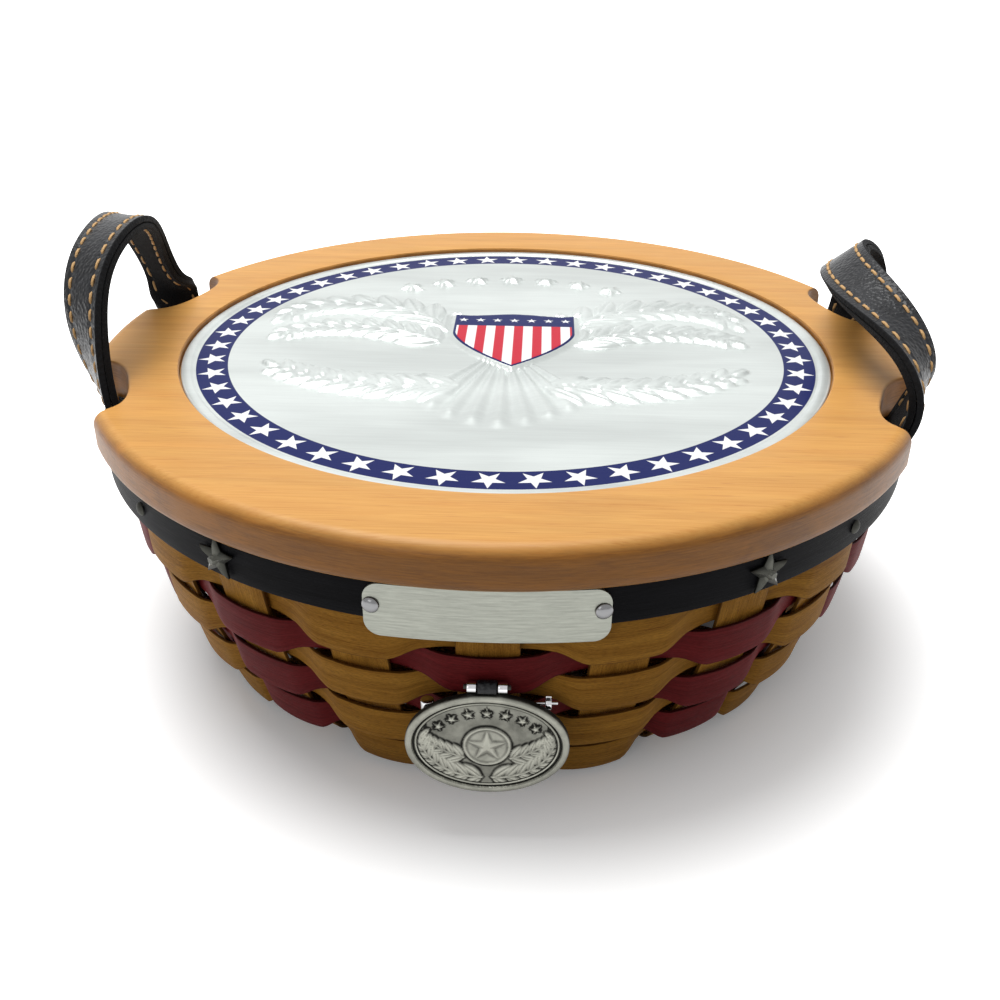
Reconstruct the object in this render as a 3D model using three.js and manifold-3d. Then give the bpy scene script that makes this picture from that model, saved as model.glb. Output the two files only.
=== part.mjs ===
// Round woven splint basket with a lift-off turned lid, two leather handles and a hanging medallion.
// Millimetres, +Z up, origin at the centre of the plane the basket stands on, front toward -Y.
import * as THREE from 'three';
import { mergeVertices } from 'three/addons/utils/BufferGeometryUtils.js';
import Module from 'manifold-3d';

const wasm = await Module();
wasm.setup();

const DEG = Math.PI / 180;

// Clearances between separate pieces
const GAP = 0.3;
const SLIP = 0.4;

// Splint stock
const SPLINT = 1.0;
const WEAVER = 0.9;
const STAKES = 22;
const PITCH = 360 / STAKES;
const STAKE_WIDTH = 17.5;
const SPOKE_MIN = 8;
const SPOKE_TAPER = 0.17;

// Shell that the stakes follow, measured on their middle surface
const RIM_RADIUS = 130.2;
const RIM_LEVEL = 76;
const FLOOR_LEVEL = WEAVER + GAP + SPLINT / 2;
const CORNER_BEND = 10;
const WALL_START = 56;
const WALL_END = 82;
const RIM_BEND = 30;
const STAKE_TOP = 88.2;
const WALL_STEPS = 7;
const CORNER_STEPS = 3;

// Splints crossing under the centre of the floor
const STACK_PITCH = SPLINT + GAP;
const STACK_RADIUS = 28;
const STACK_END = 46;
const FILLER_START = 38;

// Wall weaving
const ROWS = 7;
const ROW_PITCH = 10;
const FIRST_ROW = 9.5;
const SHINGLE = 0.12;
const ROW_ABOVE = 6.3;
const TOP_ROW_ABOVE = 8.8;
const FLOAT_BELOW = 6.3;
const TUCK_BELOW = 3.35;
const STAKE_MARGIN = 0.1;

// Floor weaving
const FLOOR_ROWS = [52, 70, 87];
const FLOOR_ROW_WIDTH = 7;

// Hoops at the rim
const HOOP_INNER = 133.6;
const HOOP_OUTER = 136.3;
const HOOP_TOP = 88.7;
const HOOP_CHAMFER = 0.5;
const HOOP_STEPS = 72;
const HOOP_JOINT = 0.17;
const LINER_INNER = 126.8;
const LINER_OUTER = 129.4;
const LINER_BOTTOM = 77;
const LINER_TOP = 88;
const LINER_STEPS = 60;

// Tacks, star ornaments and tag rivets
const SHANK_END = RIM_RADIUS + SPLINT / 2 + SLIP;
const TACK_RADIUS = 2.1;
const TACK_SHANK = 0.6;
const TACK_STAKES = [3, 8, 14, 19];
const TACK_LEVEL = 82;
const JOINT_TACK_OFFSET = 2;
const STAR_STAKES = [2, 20];
const STAR_RADIUS = 6.8;
const STAR_POST = 1.2;
const STAR_LEVEL = 82.3;
const RIVET_RADIUS = 2.15;
const RIVET_SHANK = 1.2;
const RIVET_SPREAD = 29.5;
const RIVET_LEVEL = 82;
const RIVET_END = 131.5;

// Metal tag
const TAG_WIDTH = 63.5;
const TAG_HEIGHT = 15.9;
const TAG_THICK = 0.9;
const TAG_BOTTOM = 72.7;
const TAG_CORNER = 4.5;
const TAG_BEND = 200;
const TAG_STEPS = 16;

// Lid board and plate
const LID_BOTTOM = 89;
const PLUG_BOTTOM = 85;
const PLUG_RADIUS = 126.2;
const LID_RADIUS = 139.6;
const LID_TOP = 102;
const LID_EDGE = [[138.6, 0], [139.6, 1.6], [139.5, 7], [138.4, 10.6], [136.8, 12.3], [134.6, 13]];
const OPENING_RADIUS = 110.8;
const RECESS_FLOOR = 98.9;
const NOTCH_ANGLE = 19.5;
const NOTCH_DEPTH_RADIUS = 126.9;
const NOTCH_HALF_WIDTH = 20;
const NOTCH_SQUARENESS = 2.5;
const NOTCH_COLUMNS = [-8.65, -8, -7, -5.5, -3.6, -1.2, 1.2, 3.6, 5.5, 7, 8, 8.65];
const PLATE_RADIUS = OPENING_RADIUS - 0.5;
const PLATE_THICK = 0.8;
const BEAD_INNER = 106.6;
const BEAD_HEIGHT = 0.6;
const PLATE_COLUMNS = 64;

// Handle straps
const STRAP_WIDTH = 19;
const STRAP_LAYER = 2.1;
const STRAP_SEAM = GAP / 2;
const FOOT_RADIUS = 131.1;
const FOOT_ANGLE = 19;
const FOOT_LEVEL = 88;
const STRAP_CUT = 89;
const STRAP_STEPS = 26;
const TAB_INNER = 131.25;
const TAB_THICK = 1.9;
const TAB_BOTTOM = 77.5;
// Each arch leaves its feet by these amounts: outward and upward swell, sway, shoulders and face tilt
const LEFT_ARCH = { out: 6.74, outSway: 0.62, outShoulder: 4.9, splay: 5.83,
  rise: 57.9, riseSway: 0.88, riseShoulder: 3.97, tilt: 0, turn: 0.7 };
const RIGHT_ARCH = { out: -6.2, outSway: 2.4, outShoulder: 5.9, splay: -9.0,
  rise: 42.5, riseSway: -0.9, riseShoulder: 0.3, tilt: 20, turn: 0.79 };

// Medallion and the way it hangs
const PIVOT_Y = -132.4;
const PIVOT_Z = 54.4;
const PIVOT_RADIUS = 0.7;
const PIVOT_HALF = 6.4;
const MEDAL_HALF_WIDTH = 22.7;
const MEDAL_HALF_HEIGHT = 17;
const MEDAL_LEVEL = 35.3;
const MEDAL_BACK = -131.3;
const MEDAL_THICK = 3;
const MEDAL_COLUMNS = 36;
const BAIL_SPACING = 4.2;
const BAIL_WIDTH = 2.5;
const BAIL_THICK = 0.6;
const HANGER_THICK = 0.9;
const HANGER_WIDTH = 5.2;
const PIN_RADIUS = 0.45;
const PIN_REACH = 16.6;
const CATCH_RADIUS = 1.55;
const CATCH_WIRE = 0.7;
const PIN_Y = MEDAL_BACK + GAP + CATCH_RADIUS + CATCH_WIRE / 2;
const PIN_LEFT_LEVEL = 45.4;
const PIN_RIGHT_LEVEL = 47.0;

// Materials
const paint = (name, color, roughness, metalness = 0) =>
  new THREE.MeshStandardMaterial({ name, color, roughness, metalness });
const goldSplint = paint('golden_splint', 0xb07a35, 0.6);
const redSplint = paint('burgundy_splint', 0x6b1f22, 0.6);
const blackWood = paint('black_wood', 0x1c1c1f, 0.65);
const maple = paint('natural_maple', 0xd9a566, 0.45);
const leather = paint('black_leather', 0x24252a, 0.6);
const suede = paint('suede_lining', 0x1a1a1c, 0.9);
const tin = paint('embossed_tin', 0xd4d8da, 0.3, 0.9);
const brushed = paint('brushed_tag', 0xc9cbc6, 0.35, 0.9);
const pewter = paint('antique_pewter', 0x6f706c, 0.4, 0.9);
const steel = paint('bright_steel', 0xb8babd, 0.2, 1);

const root = new THREE.Group();
root.name = 'basket';

function addPiece(name, geometry, material) {
  geometry.computeVertexNormals();
  const piece = new THREE.Mesh(geometry, material);
  piece.name = name;
  root.add(piece);
}

// Closed body from a list of points and triangles, turned so that its faces look outward
function closedBody(points, triangles) {
  let volume = 0;
  const cross = new THREE.Vector3();
  for (const [a, b, c] of triangles) {
    volume += points[a].dot(cross.crossVectors(points[b], points[c]));
  }
  const order = volume > 0 ? triangles : triangles.map(([a, b, c]) => [a, c, b]);
  const geometry = new THREE.BufferGeometry();
  geometry.setAttribute('position', new THREE.Float32BufferAttribute(points.flatMap((p) => p.toArray()), 3));
  geometry.setIndex(order.flat());
  return geometry;
}

// Body through rings of equal count; a ring of one point is a pole, and a loop joins last to first
function throughRings(rings, loop = false) {
  const starts = [];
  let count = 0;
  for (const ring of rings) {
    starts.push(count);
    count += ring.length;
  }
  const triangles = [];
  const spans = loop ? rings.length : rings.length - 1;
  for (let i = 0; i < spans; i += 1) {
    const next = (i + 1) % rings.length;
    const here = rings[i].length;
    const there = rings[next].length;
    const around = Math.max(here, there);
    for (let j = 0; j < around; j += 1) {
      const k = (j + 1) % around;
      if (here === 1) {
        triangles.push([starts[i], starts[next] + j, starts[next] + k]);
      } else if (there === 1) {
        triangles.push([starts[i] + k, starts[i] + j, starts[next]]);
      } else {
        triangles.push([starts[i] + j, starts[next] + j, starts[next] + k]);
        triangles.push([starts[i] + j, starts[next] + k, starts[i] + k]);
      }
    }
  }
  if (!loop) {
    for (const [index, flip] of [[0, false], [rings.length - 1, true]]) {
      for (let j = 1; j < rings[index].length - 1; j += 1) {
        const face = [starts[index], starts[index] + j, starts[index] + j + 1];
        triangles.push(flip ? [face[0], face[2], face[1]] : face);
      }
    }
  }
  return closedBody(rings.flat(), triangles);
}

function toManifold(geometry) {
  const bare = geometry.clone();
  bare.deleteAttribute('normal');
  bare.deleteAttribute('uv');
  const merged = mergeVertices(bare, 1e-4);
  return new wasm.Manifold(new wasm.Mesh({
    numProp: 3,
    vertProperties: new Float32Array(merged.attributes.position.array),
    triVerts: new Uint32Array(merged.index.array),
  }));
}

function cutAway(geometry, cutters) {
  let body = toManifold(geometry);
  for (const cutter of cutters) {
    body = body.subtract(toManifold(cutter));
  }
  const mesh = body.getMesh();
  const result = new THREE.BufferGeometry();
  result.setAttribute('position', new THREE.Float32BufferAttribute(mesh.vertProperties, 3));
  result.setIndex(Array.from(mesh.triVerts));
  return result;
}

// Points by azimuth from the front, radius and height
function polar(angle, radius, z) {
  return new THREE.Vector3(radius * Math.sin(angle * DEG), -radius * Math.cos(angle * DEG), z);
}

const WALL_BOW = (RIM_LEVEL - FLOOR_LEVEL - CORNER_BEND * (1 - Math.cos(WALL_START * DEG))
  - RIM_BEND * Math.cos(WALL_END * DEG)) / (Math.cos(WALL_START * DEG) - Math.cos(WALL_END * DEG));
const RIM_ARC = RIM_BEND * (90 - WALL_END) * DEG;
const WALL_ARC = WALL_BOW * (WALL_END - WALL_START) * DEG;
const CORNER_ARC = CORNER_BEND * WALL_START * DEG;

// Stake middle surface at a distance down from the rim level, with its outward normal
function shell(down) {
  if (down <= 0) {
    return { radius: RIM_RADIUS, z: RIM_LEVEL - down, outR: 1, outZ: 0 };
  }
  let radius = RIM_RADIUS;
  let z = RIM_LEVEL;
  let tangent = 90;
  let left = down;
  for (const [bend, length] of [[RIM_BEND, RIM_ARC], [WALL_BOW, WALL_ARC], [CORNER_BEND, CORNER_ARC]]) {
    const part = Math.min(left, length);
    const lower = tangent - part / bend / DEG;
    radius -= bend * (Math.sin(tangent * DEG) - Math.sin(lower * DEG));
    z -= bend * (Math.cos(lower * DEG) - Math.cos(tangent * DEG));
    tangent = lower;
    left -= part;
  }
  radius -= left;
  return { radius, z, outR: Math.sin(tangent * DEG), outZ: -Math.cos(tangent * DEG) };
}

function stakeWidth(radius) {
  return Math.min(STAKE_WIDTH, Math.max(SPOKE_MIN, SPOKE_TAPER * radius));
}

// Stations of one stake from its top down to the edge of the floor
function stakeStations() {
  const downs = [RIM_LEVEL - STAKE_TOP, 0, RIM_ARC];
  for (let i = 1; i <= WALL_STEPS; i += 1) {
    downs.push(RIM_ARC + WALL_ARC * i / WALL_STEPS);
  }
  for (let i = 1; i <= CORNER_STEPS; i += 1) {
    downs.push(RIM_ARC + WALL_ARC + CORNER_ARC * i / CORNER_STEPS);
  }
  return downs.map(shell);
}

// Flat strip through stations of a vertical plane; reach is signed along the strip's azimuth
function flatStrip(angle, stations) {
  const side = polar(angle + 90, 1, 0);
  const rings = stations.map(({ reach, z, normalR, normalZ, width }) => {
    const normal = polar(angle, normalR, normalZ);
    const centre = polar(angle, reach, z);
    return [[-1, -1], [1, -1], [1, 1], [-1, 1]].map(([across, through]) => centre.clone()
      .addScaledVector(side, across * width / 2)
      .addScaledVector(normal, through * SPLINT / 2));
  });
  return throughRings(rings);
}

function station(point, sign = 1) {
  return { reach: sign * point.radius, z: point.z, normalR: sign * point.outR, normalZ: point.outZ,
    width: stakeWidth(point.radius) };
}

// Through splints, each running up one side, over the stack and up the other side
const THROUGH = STAKES / 2;
for (let k = 0; k < THROUGH; k += 2) {
  const layer = FLOOR_LEVEL + STACK_PITCH * k / 2;
  const slope = Math.atan2(layer - FLOOR_LEVEL, STACK_END - STACK_RADIUS);
  const half = stakeStations();
  half.push({ radius: STACK_END, z: FLOOR_LEVEL, outR: -Math.sin(slope / 2), outZ: -Math.cos(slope / 2) });
  half.push({ radius: STACK_RADIUS, z: layer, outR: -Math.sin(slope / 2), outZ: -Math.cos(slope / 2) });
  const near = half.map((point) => station(point));
  const far = half.map((point) => station(point, -1)).reverse();
  addPiece(`through_splint_${k / 2 + 1}`, flatStrip(k * PITCH, [...near, ...far]), goldSplint);
}

// Filler stakes between them
let filler = 0;
for (let k = 1; k < STAKES; k += 1) {
  const throughHere = k < THROUGH ? k % 2 === 0 : k % 2 === 1;
  if (!throughHere) {
    filler += 1;
    const stations = stakeStations();
    stations.push({ radius: FILLER_START, z: FLOOR_LEVEL, outR: 0, outZ: -1 });
    addPiece(`filler_stake_${filler}`, flatStrip(k * PITCH, stations.map((p) => station(p))), goldSplint);
  }
}

// One closed wall row that passes over every second stake and under the others
function wallRow(centre, above, overOdd) {
  const at = shell(centre);
  const edge = Math.asin((stakeWidth(at.radius) / 2 + STAKE_MARGIN) / at.radius) / DEG;
  const flatRise = at.radius * (1 / Math.cos(edge * DEG) - 1);
  const base = SPLINT / 2 + GAP + WEAVER / 2;
  const over = base + SHINGLE * above + flatRise;
  const under = -(base + GAP / 3 + SHINGLE * TUCK_BELOW);
  const section = (angle, depth, below) => {
    const corners = [[-above, -1], [-above, 1], [below, 1], [below, -1]];
    return corners.map(([offset, through]) => {
      const point = shell(centre + offset);
      const lift = depth + SHINGLE * offset + through * WEAVER / 2;
      return polar(angle, point.radius + lift * point.outR, point.z + lift * point.outZ);
    });
  };
  const rings = [];
  for (let k = 0; k < STAKES; k += 1) {
    const isOver = (k % 2 === 1) === overOdd;
    for (const turn of [-edge, edge]) {
      rings.push(section(k * PITCH + turn, isOver ? over : under, isOver ? FLOAT_BELOW : TUCK_BELOW));
    }
    rings.push(section((k + 0.5) * PITCH, 0, TUCK_BELOW));
  }
  return throughRings(rings, true);
}

for (let row = 0; row < ROWS; row += 1) {
  const golden = row % 2 === 0;
  const name = `wall_row_${row + 1}_${golden ? 'golden' : 'burgundy'}`;
  const above = row === 0 ? TOP_ROW_ABOVE : ROW_ABOVE;
  addPiece(name, wallRow(FIRST_ROW + row * ROW_PITCH, above, golden), golden ? goldSplint : redSplint);
}

// Narrow floor rows that lock the spokes
function floorRow(radius, outsideOdd) {
  const swing = (SPLINT + WEAVER) / 2 + GAP;
  const inner = radius - FLOOR_ROW_WIDTH / 2;
  const outer = radius + FLOOR_ROW_WIDTH / 2;
  const edge = Math.asin((stakeWidth(inner) / 2 + 2 * STAKE_MARGIN) / inner) / DEG;
  const section = (angle, middle) => [
    polar(angle, inner, middle - WEAVER / 2),
    polar(angle, outer, middle - WEAVER / 2),
    polar(angle, outer, middle + WEAVER / 2),
    polar(angle, inner, middle + WEAVER / 2),
  ];
  const rings = [];
  for (let k = 0; k < STAKES; k += 1) {
    const outside = (k % 2 === 1) === outsideOdd;
    for (const turn of [-edge, edge]) {
      rings.push(section(k * PITCH + turn, FLOOR_LEVEL + (outside ? -swing : swing)));
    }
  }
  return throughRings(rings, true);
}

FLOOR_ROWS.forEach((radius, i) => {
  addPiece(`floor_row_${i + 1}`, floorRow(radius, i % 2 === 1), goldSplint);
});

// Turned body on a local axis: profile points are [radius, along the axis]
function turnedAlong(profile, columns, place) {
  const rings = profile.map(([radius, along]) => {
    if (radius === 0) {
      return [place(0, 0, along)];
    }
    const ring = [];
    for (let i = 0; i < columns; i += 1) {
      const turn = 2 * Math.PI * i / columns;
      ring.push(place(radius * Math.sin(turn), radius * Math.cos(turn), along));
    }
    return ring;
  });
  return throughRings(rings);
}

// Local frame on the hoop: across the azimuth, up, and outward from a radius
function onHoop(angle, z, radius) {
  const side = polar(angle + 90, 1, 0);
  const out = polar(angle, 1, 0);
  return (x, y, along) => polar(angle, radius, z + y).addScaledVector(side, x).addScaledVector(out, along);
}

const HEAD_SEAT = HOOP_OUTER + GAP;
const SHANK = HEAD_SEAT - SHANK_END;
const hoopHoles = [];

function boreHoop(angle, z, shank) {
  const reach = HOOP_OUTER - HOOP_INNER + 4;
  const bore = [[0, -reach], [shank + GAP, -reach], [shank + GAP, reach], [0, reach]];
  hoopHoles.push(turnedAlong(bore, 10, onHoop(angle, z, HOOP_INNER)));
}

function tack(name, angle) {
  const profile = [[0, 1.1], [1.4, 0.85], [TACK_RADIUS, 0.15], [TACK_RADIUS, 0],
    [TACK_SHANK, 0], [TACK_SHANK, -SHANK], [0, -SHANK]];
  addPiece(name, turnedAlong(profile, 8, onHoop(angle, TACK_LEVEL, HEAD_SEAT)), pewter);
  boreHoop(angle, TACK_LEVEL, TACK_SHANK);
}

TACK_STAKES.forEach((stake, i) => tack(`hoop_tack_${i + 1}`, stake * PITCH));
tack('hoop_tack_5', 180 - JOINT_TACK_OFFSET);
tack('hoop_tack_6', 180 + JOINT_TACK_OFFSET);

// Five ridged petals round a small boss, with a post through the hoop
function starOrnament(name, angle) {
  const post = SHANK;
  // tip radius, tip height, valley radius, valley height
  const levels = [[1.1, 2.8, 1.1, 2.8], [1.7, 2.0, 1.6, 1.5], [4.0, 1.9, 2.4, 0.9],
    [STAR_RADIUS, 0.7, 3.0, 0.6], [STAR_RADIUS - 0.2, 0, 2.9, 0],
    [STAR_POST, 0, STAR_POST, 0], [STAR_POST, -post, STAR_POST, -post]];
  const place = onHoop(angle, STAR_LEVEL, HEAD_SEAT);
  const rings = levels.map(([tip, tipHigh, valley, valleyHigh]) => {
    const ring = [];
    for (let i = 0; i < 10; i += 1) {
      const radius = i % 2 === 0 ? tip : valley;
      ring.push(place(radius * Math.sin(i * Math.PI / 5), radius * Math.cos(i * Math.PI / 5),
        i % 2 === 0 ? tipHigh : valleyHigh));
    }
    return ring;
  });
  addPiece(name, throughRings([[place(0, 0, 3.1)], ...rings, [place(0, 0, -post)]]), pewter);
  boreHoop(angle, STAR_LEVEL, STAR_POST);
}

starOrnament('star_ornament_right', STAR_STAKES[0] * PITCH);
starOrnament('star_ornament_left', STAR_STAKES[1] * PITCH);

// Tag, flatter than the hoop so that its ends stand off
const TAG_BACK = HOOP_OUTER + GAP;
const TAG_CENTRE = TAG_BACK - TAG_BEND;
const RIVET_ANGLE = Math.atan2(RIVET_SPREAD, TAG_CENTRE + TAG_BEND * Math.cos(RIVET_SPREAD / TAG_BEND)) / DEG;
const RIVET_FACE = Math.hypot(RIVET_SPREAD, TAG_CENTRE + (TAG_BEND + TAG_THICK) * Math.cos(RIVET_SPREAD / TAG_BEND));
const RIVET_SEAT = RIVET_FACE + SLIP;

function tagPlate() {
  const half = TAG_WIDTH / 2;
  const middle = TAG_BOTTOM + TAG_HEIGHT / 2;
  const offsets = [];
  for (let i = 0; i <= 4; i += 1) {
    offsets.push(half - TAG_CORNER * Math.sin(i * 22.5 * DEG));
  }
  for (let i = 1; i < TAG_STEPS; i += 1) {
    offsets.push((half - TAG_CORNER) * (1 - 2 * i / TAG_STEPS));
  }
  for (let i = 4; i >= 0; i -= 1) {
    offsets.push(-(half - TAG_CORNER * Math.sin(i * 22.5 * DEG)));
  }
  offsets.sort((a, b) => a - b);
  const rings = offsets.map((x) => {
    const into = Math.max(0, Math.abs(x) - (half - TAG_CORNER));
    const high = TAG_HEIGHT / 2 - TAG_CORNER + Math.sqrt(Math.max(0, TAG_CORNER ** 2 - into ** 2));
    const turn = x / TAG_BEND;
    const at = (depth, z) => new THREE.Vector3((TAG_BEND + depth) * Math.sin(turn),
      -(TAG_CENTRE + (TAG_BEND + depth) * Math.cos(turn)), z);
    return [at(0, middle - high), at(TAG_THICK, middle - high), at(TAG_THICK, middle + high),
      at(0, middle + high)];
  });
  return throughRings(rings);
}

const tagHoles = [];
for (const [name, sign] of [['tag_rivet_left', -1], ['tag_rivet_right', 1]]) {
  const angle = sign * RIVET_ANGLE;
  const shank = RIVET_SEAT - RIVET_END;
  const profile = [[0, 0.3], [0.9, 0.3], [1.2, 0.95], [1.7, 1.0], [RIVET_RADIUS, 0.4], [RIVET_RADIUS, 0],
    [RIVET_SHANK, 0], [RIVET_SHANK, -shank], [0, -shank]];
  addPiece(name, turnedAlong(profile, 10, onHoop(angle, RIVET_LEVEL, RIVET_SEAT)), steel);
  boreHoop(angle, RIVET_LEVEL, RIVET_SHANK);
  const bore = [[0, -3], [RIVET_SHANK + GAP, -3], [RIVET_SHANK + GAP, 3], [0, 3]];
  tagHoles.push(turnedAlong(bore, 10, onHoop(angle, RIVET_LEVEL, RIVET_FACE)));
}
addPiece('metal_tag', cutAway(tagPlate(), tagHoles), brushed);

// Hoops with a butt joint at the back
function hoop(section, steps) {
  const rings = [];
  const start = 180 + HOOP_JOINT / 2;
  const sweep = 360 - HOOP_JOINT;
  for (let i = 0; i <= steps; i += 1) {
    rings.push(section.map(([radius, z]) => polar(start + sweep * i / steps, radius, z)));
  }
  return throughRings(rings);
}

const hoopSection = [[HOOP_INNER, RIM_LEVEL], [HOOP_OUTER - HOOP_CHAMFER, RIM_LEVEL],
  [HOOP_OUTER, RIM_LEVEL + HOOP_CHAMFER], [HOOP_OUTER, HOOP_TOP - HOOP_CHAMFER],
  [HOOP_OUTER - HOOP_CHAMFER, HOOP_TOP], [HOOP_INNER, HOOP_TOP]];
addPiece('outer_hoop', cutAway(hoop(hoopSection, HOOP_STEPS), hoopHoles), blackWood);
const linerSection = [[LINER_INNER, LINER_BOTTOM], [LINER_OUTER, LINER_BOTTOM], [LINER_OUTER, LINER_TOP],
  [LINER_INNER, LINER_TOP]];
addPiece('inner_hoop', hoop(linerSection, LINER_STEPS), goldSplint);

// Lid board: a turned profile whose edge is cut back where the handles pass
function notchRadius(angle) {
  const fromSide = Math.min(Math.abs(Math.abs(angle) - 90), 90);
  const across = Math.abs(fromSide - NOTCH_ANGLE) * DEG;
  const share = Math.tan(across) * NOTCH_DEPTH_RADIUS / NOTCH_HALF_WIDTH;
  if (share >= 1) {
    return LID_RADIUS;
  }
  const rise = 1 - (1 - share ** NOTCH_SQUARENESS) ** (1 / NOTCH_SQUARENESS);
  return NOTCH_DEPTH_RADIUS + (LID_RADIUS - NOTCH_DEPTH_RADIUS) * rise;
}

function lidColumns() {
  const angles = [];
  for (const side of [-1, 1]) {
    for (const half of [-1, 1]) {
      for (const turn of NOTCH_COLUMNS) {
        angles.push(side * (90 + half * (NOTCH_ANGLE + turn)));
      }
    }
    for (let i = 1; i < 4; i += 1) {
      angles.push(side * (90 + (i / 2 - 1) * (NOTCH_ANGLE + NOTCH_COLUMNS[0])));
    }
  }
  const clear = 90 - NOTCH_ANGLE + NOTCH_COLUMNS[0];
  for (let i = -9; i <= 9; i += 1) {
    angles.push(i * clear / 10);
    angles.push(180 + i * clear / 10);
  }
  return angles.map((a) => (a > 180 ? a - 360 : a)).sort((a, b) => a - b);
}

const columns = lidColumns();
const boardRings = [[new THREE.Vector3(0, 0, PLUG_BOTTOM)]];
for (const z of [PLUG_BOTTOM, LID_BOTTOM]) {
  boardRings.push(columns.map((angle) => polar(angle, PLUG_RADIUS, z)));
}
for (const [radius, up] of LID_EDGE) {
  boardRings.push(columns.map((angle) => {
    const easing = up > 12.9 ? GAP : 0;
    return polar(angle, Math.min(radius, notchRadius(angle) - easing), LID_BOTTOM + up);
  }));
}
for (const z of [LID_TOP, RECESS_FLOOR]) {
  boardRings.push(columns.map((angle) => polar(angle, OPENING_RADIUS, z)));
}
boardRings.push([new THREE.Vector3(0, 0, RECESS_FLOOR)]);
addPiece('lid_board', throughRings(boardRings), maple);

// Embossed plate let into the lid
const plateBottom = RECESS_FLOOR + GAP;
const plateTop = plateBottom + PLATE_THICK;
const platePlace = (x, y, along) => new THREE.Vector3(x, y, along);
const plateProfile = [[0, plateBottom], [PLATE_RADIUS, plateBottom], [PLATE_RADIUS, plateTop + BEAD_HEIGHT / 2],
  [PLATE_RADIUS - 0.7, plateTop + BEAD_HEIGHT], [BEAD_INNER + 0.7, plateTop + BEAD_HEIGHT],
  [BEAD_INNER, plateTop], [0, plateTop]];
addPiece('lid_plate', turnedAlong(plateProfile, PLATE_COLUMNS, platePlace), tin);

// Arch of a handle: centre, outward normal and width direction at a share of its length
function archAt(side, arch, share) {
  const wave = (n) => Math.sin(n * Math.PI * share);
  const slope = (n) => n * Math.PI * Math.cos(n * Math.PI * share);
  const footX = FOOT_RADIUS * Math.cos(FOOT_ANGLE * DEG);
  const footY = FOOT_RADIUS * Math.sin(FOOT_ANGLE * DEG);
  const centre = new THREE.Vector3(
    side * (footX + arch.out * wave(1) + arch.outSway * wave(2) + arch.outShoulder * wave(3)),
    -footY * Math.cos(Math.PI * share) + arch.splay * wave(2),
    FOOT_LEVEL + arch.rise * wave(1) + arch.riseSway * wave(2) + arch.riseShoulder * wave(3),
  );
  const along = new THREE.Vector3(
    side * (arch.out * slope(1) + arch.outSway * slope(2) + arch.outShoulder * slope(3)),
    footY * Math.PI * Math.sin(Math.PI * share) + arch.splay * slope(2),
    arch.rise * slope(1) + arch.riseSway * slope(2) + arch.riseShoulder * slope(3),
  ).normalize();
  const lean = (90 + arch.tilt) * DEG * Math.max(0, wave(1)) ** arch.turn;
  const normal = new THREE.Vector3(side * footX, -footY * Math.cos(Math.PI * share), 0).normalize()
    .multiplyScalar(Math.cos(lean));
  normal.z += Math.sin(lean);
  normal.addScaledVector(along, -normal.dot(along)).normalize();
  const width = new THREE.Vector3().crossVectors(along, normal);
  return { centre, along, normal, width };
}

// One layer of a strap between two offsets from the seam, cut level above the rim; both layers start at
// the seam so that their facing sides are split into triangles alike
function strapLayer(side, arch, from, to) {
  const rings = [];
  for (let i = 0; i <= STRAP_STEPS; i += 1) {
    const share = i / STRAP_STEPS;
    const { centre, along, normal, width } = archAt(side, arch, share);
    const ring = [[-1, from], [1, from], [1, to], [-1, to]].map(([across, depth]) => centre.clone()
      .addScaledVector(width, across * STRAP_WIDTH / 2)
      .addScaledVector(normal, depth));
    if (i === 0 || i === STRAP_STEPS) {
      ring.forEach((point) => point.addScaledVector(along, (STRAP_CUT - point.z) / along.z));
    }
    rings.push(ring);
  }
  return throughRings(rings);
}

const OUTER_FACE = STRAP_SEAM + STRAP_LAYER;
for (const [name, side, arch] of [['left', -1, LEFT_ARCH], ['right', 1, RIGHT_ARCH]]) {
  addPiece(`handle_${name}_outer`, strapLayer(side, arch, STRAP_SEAM, OUTER_FACE), leather);
  addPiece(`handle_${name}_lining`, strapLayer(side, arch, -STRAP_SEAM, -OUTER_FACE), suede);
  for (const [end, sign] of [['front', -1], ['rear', 1]]) {
    const middle = side * (90 + sign * FOOT_ANGLE);
    const spread = Math.asin(STRAP_WIDTH / 2 / FOOT_RADIUS) / DEG;
    const rings = [];
    for (let i = 0; i <= 4; i += 1) {
      const angle = middle + spread * (i / 2 - 1);
      rings.push([[TAB_INNER, TAB_BOTTOM], [TAB_INNER + TAB_THICK, TAB_BOTTOM],
        [TAB_INNER + TAB_THICK, HOOP_TOP], [TAB_INNER, HOOP_TOP]].map(([r, z]) => polar(angle, r, z)));
    }
    addPiece(`strap_tab_${name}_${end}`, throughRings(rings), leather);
  }
}

// Ribbon of rectangular section through points of the Y-Z plane, centred on x
function ribbon(path, thick, x, width) {
  const rings = path.map(([y, z], i) => {
    const before = path[Math.max(0, i - 1)];
    const after = path[Math.min(path.length - 1, i + 1)];
    const run = new THREE.Vector2(after[0] - before[0], after[1] - before[1]).normalize();
    let stretch = 1;
    if (i > 0 && i < path.length - 1) {
      const first = new THREE.Vector2(y - before[0], z - before[1]).normalize();
      stretch = 1 / Math.max(0.5, Math.abs(first.dot(run)));
    }
    const half = stretch * thick / 2;
    return [[-1, -1], [1, -1], [1, 1], [-1, 1]].map(([across, through]) => new THREE.Vector3(
      x + across * width / 2, y - through * half * run.y, z + through * half * run.x));
  });
  return throughRings(rings);
}

// Points round the pivot from its basket side over the top; radius is to the middle of the ribbon
function curl(radius, from, to, steps) {
  const path = [];
  for (let i = 0; i <= steps; i += 1) {
    const turn = (from + (to - from) * i / steps) * DEG;
    path.push([PIVOT_Y + radius * Math.cos(turn), PIVOT_Z + radius * Math.sin(turn)]);
  }
  return path;
}

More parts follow.
